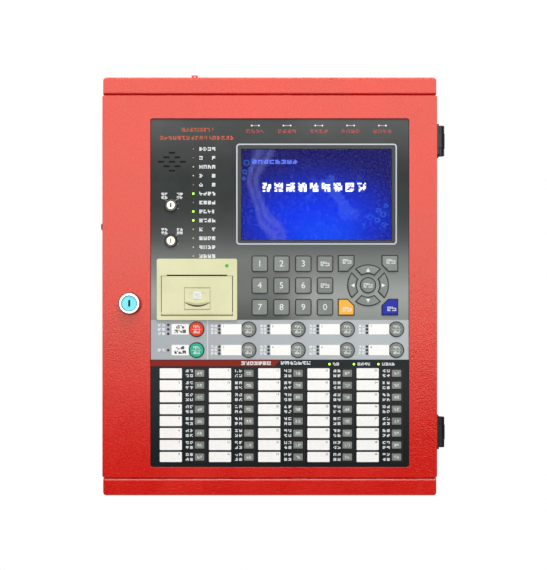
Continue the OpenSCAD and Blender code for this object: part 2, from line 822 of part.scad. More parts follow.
module printer_body() {
  cream = "#ebe8c3";
  slot = 1.8;                        // the paper slot above the cover
  top = cover_low + cover_h;
  color(cream) on_fascia(printer_x, printer_z) {
    difference() {
      union() {
        deep(y_fascia - frame_proud, y_fascia) rrect(printer_w, printer_h, 2.5);
        deep(y_fascia, y_fascia + printer_d)
          square([bay_w + 2 * shell_t, bay_h + 2 * shell_t], center = true);
      }
      deep(y_fascia - frame_proud - e, y_fascia + cover_t) union() {
        translate([-bay_w / 2, -bay_h / 2])
          square([bay_w, top + cover_gap + bay_h / 2]);
        translate([-36, top]) square([72, slot]);
      }
      deep(y_fascia + 2, y_fascia + printer_d - shell_t) square([bay_w, bay_h], center = true);
      translate([0, cover_axis_y, cover_axis_z - printer_z])
        rotate([0, 90, 0])
          cylinder(r = cover_pin_r + run_gap, h = bay_w + 2 * shell_t + 2 * e, center = true);
    }
    // print mechanism above the roll
    translate([-bay_w / 2, y_fascia + 6, bay_h / 2 - 13]) cube([bay_w, 26, 13]);
    // the two spindles that hold the roll
    for (s = [-1, 1])
      translate([s * (bay_w / 2 + roll_w / 2 - 8) / 2, roll_axis_y, roll_axis_z - printer_z])
        rotate([0, 90, 0])
          cylinder(r = spindle_r, h = bay_w / 2 - roll_w / 2 + 8, center = true);
  }
}

module printer_cover() {
  color("#e6e3bd") on_fascia(printer_x, 0) difference() {
    union() {
      translate([-cover_w / 2, cover_axis_y - cover_t / 2, cover_axis_z])
        cube([cover_w, cover_t, cover_h - cover_t / 2]);
      translate([0, cover_axis_y, cover_axis_z]) rotate([0, 90, 0]) {
        cylinder(r = cover_t / 2, h = cover_w, center = true);
        cylinder(r = cover_pin_r, h = bay_w + 2 * shell_t - 1, center = true);
      }
    }
    // recess for the latch
    translate([latch_x - printer_x - latch_w / 2 - 0.4, cover_axis_y - cover_t / 2 - e,
               latch_top - latch_h - 0.8])
      cube([latch_w + 0.8, 3 + e, latch_h + 1.6]);
    translate([latch_x - printer_x, latch_axis_y, latch_top - 1]) rotate([0, 90, 0])
      cylinder(r = latch_pin_r + run_gap, h = latch_w + 3.2, center = true, $fn = SLOT_FN);
  }
}

// The latch hangs from its pin at the top of the recess; a curved lip takes the finger
module printer_latch() {
  lip_r = 30;
  color("#dedab4") on_fascia(latch_x, 0) difference() {
    union() {
      translate([-latch_w / 2, latch_axis_y - latch_t / 2, latch_top - latch_h])
        cube([latch_w, latch_t, latch_h - 1]);
      translate([0, latch_axis_y, latch_top - 1]) rotate([0, 90, 0]) {
        cylinder(r = latch_t / 2, h = latch_w, center = true, $fn = SLOT_FN);
        cylinder(r = latch_pin_r, h = latch_w + 2.4, center = true, $fn = SLOT_FN);
      }
      translate([0, 0, latch_top - latch_h + 6.5])
        deep(latch_axis_y - latch_t / 2 - 1.2, latch_axis_y) intersection() {
          translate([0, lip_r]) difference() {
            circle(lip_r);
            circle(lip_r - 2.4);
          }
          square([24, 12], center = true);
        }
    }
    deep(latch_axis_y - latch_t, latch_axis_y - latch_t / 4)
      translate([0, latch_top - latch_h / 2 + 3]) rrect(18, 9, 2);
  }
}

module paper_roll() {
  color("#f4f2ea") on_fascia(printer_x, 0)
    translate([0, roll_axis_y, roll_axis_z]) rotate([0, 90, 0]) difference() {
      cylinder(r = roll_r, h = roll_w, center = true);
      cylinder(r = spindle_r + run_gap, h = roll_w + 2 * e, center = true);
    }
}

cabinet_shell();
gland_plate();
hinge_fixed_leaves();
main_board();
terminal_blocks();
power_supply();
batteries();
battery_bracket();
cable_gland();
door_shell();
door_gasket();
fascia_panel();
lcd_window();
lcd_module();
display_board();
printer_body();
speaker();
key_switch_bodies();
cam_lock_body();
led_lenses();
label_cards();
hinge_door_leaves();
printer_cover();
printer_latch();
paper_roll();
key_switch_upper();
key_switch_lower();
cam_lock_plug();
zone_keys();
for (k = KEYS) push_key(k);
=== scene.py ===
"""Finishes and fine detail for a wall-mounted fire alarm control panel.

+Z is up, the front faces -Y, and the origin is the centre of the back face on the wall.
Lengths are written in millimetres and turned into metres with MM.
"""
import json
import math
from functools import partialmethod

import bmesh
import bpy
from mathutils import Matrix, Vector


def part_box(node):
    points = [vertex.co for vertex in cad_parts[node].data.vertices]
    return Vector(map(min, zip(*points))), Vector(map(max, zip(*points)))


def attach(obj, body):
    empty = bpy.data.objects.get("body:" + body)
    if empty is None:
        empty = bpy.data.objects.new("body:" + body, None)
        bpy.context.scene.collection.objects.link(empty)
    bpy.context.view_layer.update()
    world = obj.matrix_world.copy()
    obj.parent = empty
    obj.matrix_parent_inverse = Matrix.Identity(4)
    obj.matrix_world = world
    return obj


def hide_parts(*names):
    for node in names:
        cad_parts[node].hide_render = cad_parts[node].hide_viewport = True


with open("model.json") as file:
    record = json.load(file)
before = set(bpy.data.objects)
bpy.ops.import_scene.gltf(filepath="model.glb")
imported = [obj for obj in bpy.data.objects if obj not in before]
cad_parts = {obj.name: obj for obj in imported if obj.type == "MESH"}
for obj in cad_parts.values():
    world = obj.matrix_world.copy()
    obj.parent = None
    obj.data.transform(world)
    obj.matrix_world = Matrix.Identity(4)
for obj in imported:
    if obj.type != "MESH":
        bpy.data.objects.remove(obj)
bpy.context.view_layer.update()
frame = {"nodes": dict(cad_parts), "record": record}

MM = 0.001
NODES = frame["nodes"]
BODY_OF = {n: b for b, group in frame["record"]["behaviour"]["bodies"].items() for n in group}


def paint(r, g, b):
    """A linear colour from three 0-255 values as seen on a screen."""
    def linear(v):
        v /= 255
        return v / 12.92 if v <= 0.04045 else ((v + 0.055) / 1.055) ** 2.4
    return linear(r), linear(g), linear(b), 1.0


def centre_of(node):
    low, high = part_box(node)
    return (low + high) / 2


def face_middle(node):
    """The centre of a node's front: across and up in millimetres, depth in metres."""
    c = centre_of(node)
    return c.x / MM, c.z / MM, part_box(node)[0].y


def spaced(values):
    """Keyword values under their socket labels: an underscore stands for a space."""
    return {key.replace("_", " "): value for key, value in values.items()}


FASCIA = centre_of("fascia_panel")          # middle of the control fascia
FASCIA_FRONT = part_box("fascia_panel")[0].y  # its front face
PRINT = 0.06 * MM                           # how far a print stands on what carries it
SKIN = 0.05 * MM                            # depth within which a face counts as the front
WELD = 0.004 * MM                           # vertices closer than this are one
TO_FRONT = (math.pi / 2, 0.0, 0.0)          # a part's +Z turned to the front, -Y
BLACK, WHITE = (0.0, 0.0, 0.0, 1.0), (1.0, 1.0, 1.0, 1.0)


# ---------------------------------------------------------------- node trees

class Wiring:
    """Short calls that place and join the nodes of one tree."""

    def __init__(self, tree):
        self.tree = tree

    def feed(self, socket, value):
        if isinstance(value, bpy.types.NodeSocket):
            self.tree.links.new(value, socket)
        else:
            socket.default_value = value

    def add(self, kind, values=None, **settings):
        node = self.tree.nodes.new(kind)
        for name, value in settings.items():
            setattr(node, name, value)
        for key, value in (values or {}).items():
            self.feed(node.inputs[key], value)
        return node

    def first(self, kind, **values):
        """The first output of a geometry node."""
        return self.add("GeometryNode" + kind, spaced(values)).outputs[0]

    def sum(self, operation, *values, clamp=False):
        node = self.add("ShaderNodeMath", operation=operation, use_clamp=clamp)
        for i, value in enumerate(values):
            self.feed(node.inputs[i], value)
        return node.outputs[0]

    plus, minus = partialmethod(sum, "ADD"), partialmethod(sum, "SUBTRACT")
    times, over = partialmethod(sum, "MULTIPLY"), partialmethod(sum, "DIVIDE")
    less, size_of = partialmethod(sum, "LESS_THAN"), partialmethod(sum, "ABSOLUTE")
    larger = partialmethod(sum, "MAXIMUM")

    def length(self, a, b):
        return self.sum("SQRT", self.plus(self.times(a, a), self.times(b, b)))

    def mix(self, factor, a, b, blend="MIX"):
        node = self.add("ShaderNodeMix", data_type="RGBA", blend_type=blend)
        for i, value in ((0, factor), (6, a), (7, b)):
            self.feed(node.inputs[i], value)
        return node.outputs[2]

    def noise(self, vector, scale, detail=2.0, roughness=0.5):
        return self.add("ShaderNodeTexNoise", {"Vector": vector, "Scale": scale,
                        "Detail": detail, "Roughness": roughness}).outputs[0]

    def between(self, value, low, high, to_low=0.0, to_high=1.0):
        node = self.add("ShaderNodeMapRange", interpolation_type="SMOOTHSTEP")
        for i, v in enumerate((value, low, high, to_low, to_high)):
            self.feed(node.inputs[i], v)
        return node.outputs[0]

    def shades(self, mottle, dark, light):
        """Two close colours that drift into each other."""
        return self.mix(self.between(mottle, 0.3, 0.7), dark, light)

    def vector(self, **axes):
        return self.add("ShaderNodeCombineXYZ", axes).outputs[0]

    def axes(self, vector):
        return self.add("ShaderNodeSeparateXYZ", {"Vector": vector}).outputs

    def red_of(self, colour):
        return self.add("ShaderNodeSeparateColor", {"Color": colour}).outputs[0]

    def stretch(self, a, b, operation="MULTIPLY", output=0):
        return self.add("ShaderNodeVectorMath", {0: a, 1: b}, operation=operation).outputs[output]


def new_tree(kind, name, inputs, outputs):
    """A tree and the two ends to wire between; an input is a socket's kind, or its number."""
    tree = bpy.data.node_groups.new(name, kind)
    kinds = {float: "Float", int: "Int"}
    for label, value in inputs.items():
        socket = tree.interface.new_socket(label, in_out="INPUT", socket_type="NodeSocket"
                                           + kinds.get(type(value), value))
        if type(value) in kinds:
            socket.default_value = value
    for label, value in outputs.items():
        tree.interface.new_socket(label, in_out="OUTPUT", socket_type="NodeSocket" + value)
    w = Wiring(tree)
    return w, w.add("NodeGroupInput").outputs, w.add("NodeGroupOutput").inputs


def shared_group(name, outputs, **numbers):
    """A shader node group over a vector, with numbers in and out."""
    return new_tree("ShaderNodeTree", name, {"Vector": "Vector", **spaced(numbers)},
                    dict.fromkeys(outputs, "Float"))


def make_orange_peel():
    """The rippled skin of powder paint, with a slow change of shade."""
    w, given, out = shared_group("orange_peel", ("Height", "Mottle", "Speck"), Grain=700.0)
    where, grain = given["Vector"], given["Grain"]
    w.feed(out["Height"], w.noise(where, grain, 1.0))
    w.feed(out["Mottle"], w.noise(where, w.times(grain, 0.03), 3.0))
    w.feed(out["Speck"], w.noise(where, w.times(grain, 1.3), 0.0))
    return w.tree


def make_moulded_grain():
    """Fine spark-eroded texture of a moulding, with faint flow marks."""
    w, given, out = shared_group("moulded_grain", ("Height", "Mottle"), Grain=1500.0)
    where, grain = given["Vector"], given["Grain"]
    cells = w.add("ShaderNodeTexVoronoi", {"Vector": where, "Scale": grain}, feature="SMOOTH_F1")
    w.feed(out["Height"], cells.outputs["Distance"])
    w.feed(out["Mottle"], w.noise(where, w.times(grain, 0.02), 3.0))
    return w.tree


def make_settled_dust():
    """A thin film on faces that look up, broken by noise."""
    w, given, out = shared_group("settled_dust", ("Mask",), Amount=0.3)
    up = w.axes(w.add("ShaderNodeNewGeometry").outputs["Normal"])["Z"]
    film = w.between(w.noise(given["Vector"], 60.0, 5.0, 0.65), 0.35, 0.7)
    flat = w.between(up, 0.35, 0.95)
    w.feed(out["Mask"], w.times(w.times(film, flat), given["Amount"]))
    return w.tree


def make_edge_highlight():
    """A painted highlight along the outward edges, broken by noise."""
    w, given, out = shared_group("rubbed_edge", ("Mask",), Width=0.0008, Amount=0.5)
    soft = w.add("ShaderNodeBevel", {"Radius": given["Width"]}, samples=4).outputs[0]
    true = w.add("ShaderNodeNewGeometry").outputs["Normal"]
    turn = w.stretch(soft, true, "DOT_PRODUCT", "Value")
    edge = w.between(w.minus(1.0, turn), 0.02, 0.22)
    highlight_patches = w.between(w.noise(given["Vector"], 140.0, 4.0, 0.6), 0.42, 0.66)
    w.feed(out["Mask"], w.times(w.times(edge, highlight_patches), given["Amount"]))
    return w.tree


def make_drawn_lines():
    """Fine lines left by turning or rolling metal."""
    w, given, out = shared_group("drawn_lines", ("Height", "Mottle"), Grain=900.0)
    where, grain = given["Vector"], given["Grain"]
    w.feed(out["Height"], w.noise(w.stretch(where, (0.04, 1.0, 1.0)), grain, 2.0))
    w.feed(out["Mottle"], w.noise(where, w.times(grain, 0.05), 3.0))
    return w.tree


def make_printed_patch():
    """1 inside a rounded rectangle in X and Z, 0 outside; sizes in metres."""
    w, given, out = shared_group("printed_patch", ("Mask",), Across=0.0, Up=0.0, Half_Width=0.01,
                                 Half_Height=0.01, Radius=0.0, Blur=0.0002)
    at = w.axes(given["Vector"])

    def past(coordinate, middle, half):
        inner = w.minus(half, given["Radius"])
        return w.minus(w.size_of(w.minus(coordinate, middle)), inner)
    dx = past(at["X"], given["Across"], given["Half Width"])
    dz = past(at["Z"], given["Up"], given["Half Height"])
    corner = w.length(w.larger(dx, 0.0), w.larger(dz, 0.0))
    side = w.sum("MINIMUM", w.larger(dx, dz), 0.0)
    distance = w.minus(w.plus(corner, side), given["Radius"])
    w.feed(out["Mask"], w.minus(0.5, w.over(distance, given["Blur"]), clamp=True))
    return w.tree


ORANGE_PEEL = make_orange_peel()
MOULDED_GRAIN = make_moulded_grain()
SETTLED_DUST = make_settled_dust()
EDGE_HIGHLIGHT = make_edge_highlight()
DRAWN_LINES = make_drawn_lines()
PRINTED_PATCH = make_printed_patch()


# ---------------------------------------------------------------- finishes

METAL_DUST = paint(150, 146, 140)


class Finish(Wiring):
    """A material around one Principled shader."""

    def __init__(self, name, **plain):
        self.material = bpy.data.materials.new(name)
        self.material.use_nodes = True
        super().__init__(self.material.node_tree)
        self.shader = self.tree.nodes["Principled BSDF"]
        self.where = self.add("ShaderNodeTexCoord").outputs["Object"]
        for key, value in spaced(plain).items():
            self.shader.inputs[key].default_value = value

    def group(self, tree, **values):
        return self.add("ShaderNodeGroup", {"Vector": self.where, **spaced(values)},
                        node_tree=tree).outputs

    def from_middle(self, middle):
        """Millimetres across and up from a point."""
        at = self.axes(self.where)
        return (self.over(self.minus(at["X"], middle.x), MM),
                self.over(self.minus(at["Z"], middle.z), MM))

    def patch(self, across, up, width, height, radius=0.0, blur=0.2, middle=FASCIA):
        """Mask of a printed patch, placed from a middle, in millimetres."""
        return self.group(PRINTED_PATCH, Across=middle.x + across * MM, Up=middle.z + up * MM,
                          Half_Width=width / 2 * MM, Half_Height=height / 2 * MM,
                          Radius=radius * MM, Blur=blur * MM)["Mask"]

    def front_skin(self, node):
        """1 on the front face of a node, 0 behind it."""
        return self.less(self.axes(self.where)["Y"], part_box(node)[0].y + SKIN)

    def dusted(self, body, amount, dust=METAL_DUST):
        return self.mix(self.group(SETTLED_DUST, Amount=amount)["Mask"], body, dust)

    def colour(self, value):
        self.feed(self.shader.inputs["Base Color"], value)

    def roughness(self, mottle, low, high):
        self.feed(self.shader.inputs["Roughness"], self.between(mottle, 0.3, 0.7, low, high))

    def bump(self, height, strength, depth):
        node = self.add("ShaderNodeBump", {"Height": height, "Strength": strength,
                                           "Distance": depth * MM})
        self.feed(self.shader.inputs["Normal"], node.outputs[0])

    def glow(self, colour, strength):
        self.feed(self.shader.inputs["Emission Color"], colour)
        self.shader.inputs["Emission Strength"].default_value = strength

    def surface(self, skin, low, high, strength, depth):
        """Roughness from the slow mottle and bump from the fine height of a group."""
        self.roughness(skin["Mottle"], low, high)
        self.bump(skin["Height"], strength, depth)
        return self.material


def red_powder_coat():
    f = Finish("red_powder_coat", Specular_IOR_Level=0.7, Specular_Tint=(1.0, 0.98, 0.8, 1.0))
    peel = f.group(ORANGE_PEEL, Grain=620.0)
    body = f.shades(peel["Mottle"], paint(207, 2, 0), paint(214, 6, 1))
    body = f.mix(f.between(peel["Speck"], 0.45, 0.75, 0.0, 0.2), body, paint(240, 84, 62))
    # painted highlight: a lighter red along the outward edges, broken by noise
    edge_highlight_mask = f.group(EDGE_HIGHLIGHT, Width=1.0 * MM, Amount=0.35)["Mask"]
    f.colour(f.dusted(f.mix(edge_highlight_mask, body, paint(236, 92, 74)), 0.25, paint(206, 170, 158)))
    return f.surface(peel, 0.18, 0.23, 0.45, 0.5)


def moulded(name, dark, light, low, high, grain=1500.0, depth=0.06, dust=0.2, **plain):
    """A moulded plastic in two close shades."""
    plain.setdefault("Specular_IOR_Level", 0.22)
    f = Finish(name, **plain)
    skin = f.group(MOULDED_GRAIN, Grain=grain)
    body = f.shades(skin["Mottle"], paint(*dark), paint(*light))
    f.colour(f.dusted(body, dust, paint(178, 176, 170)))
    return f.surface(skin, low, high, 0.2, depth)


def key_plastic(name, dark, light, low=0.34, high=0.44):
    return moulded(name, dark, light, low, high, 1700.0, 0.05, 0.08)


def metal(name, dark, light, low, high, grain=900.0, strength=0.15):
    """A bare or plated metal with its drawn lines."""
    f = Finish(name, Metallic=1.0)
    lines = f.group(DRAWN_LINES, Grain=grain)
    f.colour(f.dusted(f.shades(lines["Mottle"], paint(*dark), paint(*light)), 0.15))
    return f.surface(lines, low, high, strength, 0.02)


def galvanised():
    """Zinc plate with its flakes."""
    f = Finish("galvanised_steel", Metallic=1.0)
    flakes = f.add("ShaderNodeTexVoronoi", {"Vector": f.where, "Scale": 260.0})
    tone = f.red_of(flakes.outputs["Color"])
    f.colour(f.dusted(f.mix(tone, paint(168, 172, 175), paint(192, 196, 198)), 0.4))
    f.roughness(tone, 0.34, 0.5)
    f.bump(tone, 0.08, 0.02)
    return f.material


def solder_mask():
    """Green varnish over copper tracks."""
    f = Finish("green_board")
    at = f.axes(f.where)
    lanes = f.add("ShaderNodeTexBrick", {
        "Vector": f.vector(X=at["X"], Y=at["Z"]), "Scale": 90.0, "Mortar Size": 0.06,
        "Color1": BLACK, "Color2": BLACK, "Mortar": WHITE})
    track = f.red_of(lanes.outputs["Color"])
    skin = f.group(MOULDED_GRAIN, Grain=1100.0)
    body = f.shades(skin["Mottle"], paint(14, 84, 44), paint(22, 104, 56))
    f.colour(f.mix(f.times(track, 0.35), body, paint(70, 150, 96)))
    f.roughness(skin["Mottle"], 0.28, 0.4)
    f.bump(track, 0.3, 0.05)
    return f.material


def foam():
    f = Finish("black_foam")
    cells = f.group(MOULDED_GRAIN, Grain=2200.0)
    f.colour(f.mix(cells["Height"], paint(22, 22, 23), paint(58, 58, 60)))
    return f.surface(cells, 0.82, 0.96, 0.7, 0.3)


STRIP_LOW, STRIP_HIGH = -79.9, -32.5        # the light strip, from the fascia's middle
STRIPE_LOW, STRIPE_HIGH = -87.8, -80.7      # the red stripe below it
FASCIA_W, FASCIA_H = 309.3, 416.7           # the part of the fascia that shows
DIVIDER_X = -86.4                           # light line beside the start and stop buttons


def painted_glare_by_height(f, z, heights, tones):
    """Painted glare and shade that change with height, in millimetres."""
    ramp = f.add("ShaderNodeValToRGB")
    ramp.color_ramp.interpolation = "B_SPLINE"
    stops = ramp.color_ramp.elements
    while len(stops) < len(heights):
        stops.new(0.5)
    low, high = heights[0], heights[-1]
    for stop, height, tone in zip(stops, heights, tones):
        stop.position = (height - low) / (high - low)
        stop.color = (tone, tone, tone, 1.0)
    f.feed(ramp.inputs[0], f.over(f.minus(z, low), high - low))
    return f.red_of(ramp.outputs[0])


def slate_overlay():
    """The printed film on the fascia: slate above with painted glare and shade, a light strip, and
    a dark field below.
    """
    f = Finish("slate_overlay", Specular_IOR_Level=0.1)
    x, z = f.from_middle(FASCIA)
    skin = f.group(MOULDED_GRAIN, Grain=1900.0)
    # painted glare and shade: the slate is darkest beside the screen, and a painted band of glare
    # makes it lightest level with the keypad, brighter at the sides
    heights = (-32, -16, 0, 20, 41, 52, 62, 80, 108, 137, 160, 176, 192, 206)
    outer = painted_glare_by_height(f, z, heights, (0.62, 0.78, 0.86, 0.56, 0.4, 0.28, 0.19, 0.10, 0.055, 0.04,
                                        0.075, 0.12, 0.16, 0.19))
    inner = painted_glare_by_height(f, z, heights, (0.19, 0.28, 0.38, 0.34, 0.4, 0.28, 0.19, 0.10, 0.055, 0.04,
                                        0.07, 0.10, 0.12, 0.12))
    aside = f.larger(f.between(x, -12.0, 48.0), f.between(x, -95.0, -150.0))
    tone = f.plus(f.times(outer, aside), f.times(inner, f.minus(1.0, aside)))
    slate = f.mix(tone, paint(20, 26, 26), paint(170, 175, 171))
    slate = f.mix(f.between(skin["Mottle"], 0.3, 0.7, 0.0, 0.06), slate, paint(120, 126, 126))

    field = f.mix(f.between(z, -100.0, -208.0), paint(38, 44, 46), paint(20, 28, 31))
    body = f.mix(f.less(z, STRIP_LOW), slate, field)
    strip_z, strip_h = (STRIP_LOW + STRIP_HIGH) / 2, STRIP_HIGH - STRIP_LOW
    body = f.mix(f.patch(0, strip_z, FASCIA_W + 20, strip_h), body,
                 f.mix(f.between(x, -120.0, 120.0), paint(172, 177, 182), paint(184, 189, 192)))
    body = f.mix(f.patch(DIVIDER_X, strip_z, 1.3, strip_h), body, paint(206, 209, 212))
    # red stripe with a slanted end
    slant = f.plus(x, f.times(f.minus(STRIPE_HIGH, z), 0.9))
    stripe = f.patch(-80, (STRIPE_LOW + STRIPE_HIGH) / 2, 200, STRIPE_HIGH - STRIPE_LOW)
    body = f.mix(f.times(stripe, f.less(slant, 0.3)), body, paint(136, 40, 30))
    # light line round the screen, and a painted shadow at the film's edge: a fine dark line where
    # the film sits back behind the door's opening
    window = (centre_of("lcd_window") - FASCIA) / MM
    size = (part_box("lcd_window")[1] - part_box("lcd_window")[0]) / MM
    ring = f.minus(f.patch(window.x, window.z, size.x + 4.2, size.z + 4.2, 4.0),
                   f.patch(window.x, window.z, size.x + 1.0, size.z + 1.0, 2.4), clamp=True)
    body = f.mix(ring, body, paint(196, 200, 204))
    # painted shadow round the edge of the film
    edge_shadow = f.minus(1.0, f.patch(0, 0, FASCIA_W - 1.2, FASCIA_H - 1.2, 3.0))
    f.colour(f.mix(f.times(edge_shadow, 0.8), body, paint(24, 28, 28)))
    return f.surface(skin, 0.44, 0.52, 0.12, 0.05)


SCREEN_RINGS = (                            # across and up from the screen's middle, radius, in mm
    (64, -27, 3.6), (74, -19, 2.6), (73, -31, 3.0), (81, -36, 2.8), (80, -24, 3.4), (83, -14, 2.4),
    (57, -36, 1.8), (-84, 38, 3.4), (-79, 30, 2.4), (-86, 27, 2.8), (-76, 41, 2.0), (-87, 19, 2.2))


def blue_screen():
    """A lit start picture: a blue field, brightest low in the middle, with soft light forms and a
    painted reflection of glare on the left.
    """
    f = Finish("blue_screen")
    f.roughness(f.noise(f.where, 300.0), 0.2, 0.3)
    middle = centre_of("lcd_window")
    x, z = f.from_middle(middle)

    def spot(cx, cz, rx, rz):
        d = f.length(f.over(f.minus(x, cx), rx), f.over(f.minus(z, cz), rz))
        return f.between(d, 0.1, 1.0, 1.0, 0.0)
    body = f.mix(spot(0, -34, 140, 84), paint(30, 30, 112), paint(12, 60, 250))
    body = f.mix(f.times(spot(10, -48, 60, 30), 0.5), body, paint(20, 92, 255))
    # painted reflection: two soft curved streaks of glare on the left
    warp = f.times(f.minus(f.noise(f.where, 14.0, 1.0), 0.5), 90.0)
    reflection_path = f.size_of(f.plus(f.plus(x, 66.0), f.plus(warp, f.times(z, 0.25))))
    reflection_band = f.minus(f.between(reflection_path, 5.0, 17.0, 1.0, 0.0), f.between(reflection_path, 0.0, 7.0, 0.6, 0.0),
                   clamp=True)
    left = f.between(x, -20.0, -48.0)
    body = f.mix(f.times(f.times(reflection_band, left), 0.42), body, paint(120, 126, 214))
    # islands of fine dots
    lands = f.between(f.noise(f.where, 30.0, 2.0), 0.56, 0.6)
    inside = f.times(f.between(f.size_of(f.minus(x, 8.0)), 50.0, 34.0),
                     f.between(f.size_of(z), 36.0, 22.0))
    dots = f.add("ShaderNodeTexVoronoi", {"Vector": f.where, "Scale": 560.0, "Randomness": 0.0})
    dot = f.between(dots.outputs["Distance"], 0.28, 0.42, 1.0, 0.25)
    body = f.mix(f.times(f.times(lands, inside), f.times(dot, 0.5)), body, paint(88, 130, 255))
    # rings at the lower right and the upper left corner
    for cx, cz, r in SCREEN_RINGS:
        outer, inner = (f.patch(cx, cz, 2 * a, 2 * a, a, 0.5, middle) for a in (r, r - 1))
        body = f.mix(f.times(f.minus(outer, inner, clamp=True), 0.7), body, paint(58, 128, 255))
    # only the front is lit: the back is a dull metal tray
    face = f.front_skin("lcd_module")
    tray = f.mix(f.noise(f.where, 120.0, 3.0), paint(92, 96, 100), paint(116, 120, 124))
    f.colour(f.mix(face, tray, f.mix(0.9, body, BLACK)))
    f.glow(f.mix(face, BLACK, body), 0.85)
    return f.material


def clear_window():
    f = Finish("clear_window", Transmission_Weight=1.0, IOR=1.13)
    smear = f.noise(f.where, 26.0, 4.0, 0.6)
    f.roughness(smear, 0.06, 0.14)
    f.colour(f.mix(smear, paint(246, 248, 250), paint(252, 252, 252)))
    return f.material


def lens(name, dark, light, glow=0.0, core=None):
    """A diffused lamp lens; a lit one glows from its middle."""
    f = Finish(name)
    cloud = f.noise(f.where, 900.0, 2.0)
    f.roughness(cloud, 0.22, 0.34)
    f.colour(f.mix(cloud, paint(*dark), paint(*light)))
    if glow:
        facing = f.add("ShaderNodeLayerWeight", {"Blend": 0.35}).outputs["Facing"]
        f.glow(f.mix(f.between(facing, 0.1, 0.7), paint(*core or light), paint(*dark)), glow)
    return f.material


def ink(name, colour, faded):
    """Screen-printed ink, a little uneven."""
    f = Finish(name)
    patchy = f.noise(f.where, 420.0, 3.0)
    f.colour(f.mix(f.between(patchy, 0.35, 0.65), paint(*colour), paint(*faded)))
    f.roughness(patchy, 0.4, 0.55)
    return f.material


def glowing_ink(name, colour, faded, strength):
    """A light mark in the screen's own picture."""
    f = Finish(name)
    patchy = f.noise(f.where, 300.0, 2.0)
    tone = f.mix(patchy, paint(*colour), paint(*faded))
    f.colour(tone)
    f.roughness(patchy, 0.3, 0.4)
    f.glow(tone, strength)
    return f.material


def paper_card():
    f = Finish("white_card")
    fibre = f.noise(f.where, 260.0, 5.0, 0.65)
    f.colour(f.shades(fibre, paint(247, 244, 239), paint(253, 251, 248)))
    return f.surface({"Mottle": fibre, "Height": fibre}, 0.4, 0.5, 0.1, 0.03)


def thermal_paper():
    f = Finish("white_paper")
    at = f.axes(f.where)
    turns = f.noise(f.vector(X=f.times(at["X"], 0.02), Y=at["Y"], Z=at["Z"]), 1800.0, 1.0)
    f.colour(f.mix(turns, paint(232, 230, 222), paint(246, 244, 238)))
    return f.surface({"Mottle": turns, "Height": turns}, 0.55, 0.7, 0.15, 0.05)


def lock_plug_reflection():
    """Satin metal, with a painted reflection: the plug's front face is painted light blue."""
    f = Finish("satin_metal")
    lines = f.group(DRAWN_LINES, Grain=1300.0)
    face = f.front_skin("cam_lock_plug")
    steel = f.mix(lines["Mottle"], paint(150, 156, 160), paint(190, 196, 200))
    # painted reflection: light blue over the plug's front face
    blue = f.mix(lines["Height"], paint(96, 214, 232), paint(130, 240, 250))
    f.colour(f.mix(face, steel, blue))
    f.feed(f.shader.inputs["Metallic"], f.minus(1.0, f.times(face, 0.85)))
    return f.surface(lines, 0.3, 0.42, 0.1, 0.03)


# the part already has plain materials of these names, so a new one may carry a ".001"
FINISHES = {made.name.partition(".")[0]: made for made in (
    red_powder_coat(), solder_mask(), galvanised(), foam(), slate_overlay(), clear_window(),
    blue_screen(), lock_plug_reflection(), paper_card(), thermal_paper(),
    moulded("black_zinc", (15, 16, 15), (30, 31, 30), 0.3, 0.44, 900.0, Specular_IOR_Level=0.5),
    moulded("green_plastic", (30, 132, 62), (42, 150, 74), 0.32, 0.45),
    moulded("battery_case", (40, 44, 48), (56, 60, 64), 0.4, 0.55, 900.0, 0.1, 0.35),
    moulded("black_plastic", (18, 18, 19), (32, 32, 33), 0.38, 0.52),
    moulded("cream_plastic", (217, 215, 172), (225, 223, 181), 0.4, 0.5, 1300.0, 0.05, 0.1),
    moulded("speaker_cone", (5, 5, 6), (11, 11, 12), 0.7, 0.85),
    metal("chromed_metal", (200, 204, 208), (232, 235, 238), 0.08, 0.2, 700.0, 0.05),
    metal("dark_nickel", (34, 31, 26), (104, 98, 84), 0.3, 0.42, 300.0),
    metal("switch_collar", (50, 52, 50), (92, 94, 92), 0.14, 0.24),
    metal("switch_plug", (236, 232, 200), (250, 246, 222), 0.3, 0.4),
    lens("led_lens", (26, 30, 28), (44, 50, 46)),
    key_plastic("grey_key", (122, 129, 122), (136, 143, 136), 0.36, 0.46),
    key_plastic("orange_key", (250, 172, 52), (255, 186, 72)),
    key_plastic("blue_key", (22, 34, 150), (30, 44, 168)),
    key_plastic("red_key", (214, 50, 22), (226, 66, 34), 0.28, 0.38),
    key_plastic("green_key", (34, 168, 132), (48, 186, 150), 0.28, 0.38))}
WHITE_INK = ink("white_ink", (240, 242, 242), (222, 226, 226))
RED_INK = ink("red_ink", (186, 62, 48), (160, 52, 42))
ORANGE_INK = ink("orange_ink", (200, 78, 30), (176, 66, 26))
DARK_INK = ink("dark_ink", (34, 36, 38), (52, 54, 56))
PALE_INK = ink("pale_ink", (176, 174, 170), (150, 150, 146))
DARK_SEPIA = ink("dark_sepia", (58, 50, 32), (76, 68, 46))
MAROON_INK = ink("maroon_ink", (44, 14, 14), (62, 22, 20))
BLACK_INK = ink("black_ink", (10, 11, 12), (22, 23, 24))
SCREEN_BORDER = ink("screen_border", (34, 38, 42), (46, 50, 54))
STRIP_DARK = ink("strip_dark_lens", (6, 7, 8), (16, 18, 20))
LIT_GREEN = lens("lit_green_lens", (66, 200, 20), (120, 255, 40), 2.2, (190, 255, 60))
DIM_GREEN = lens("dim_green_lens", (86, 116, 92), (128, 160, 132))
DIM_RED = lens("dim_red_lens", (158, 92, 84), (196, 128, 114))
DIM_YELLOW = lens("dim_yellow_lens", (198, 186, 132), (232, 222, 170))
WARM_WHITE = lens("warm_white_lens", (246, 214, 204), (255, 240, 232), 0.6)
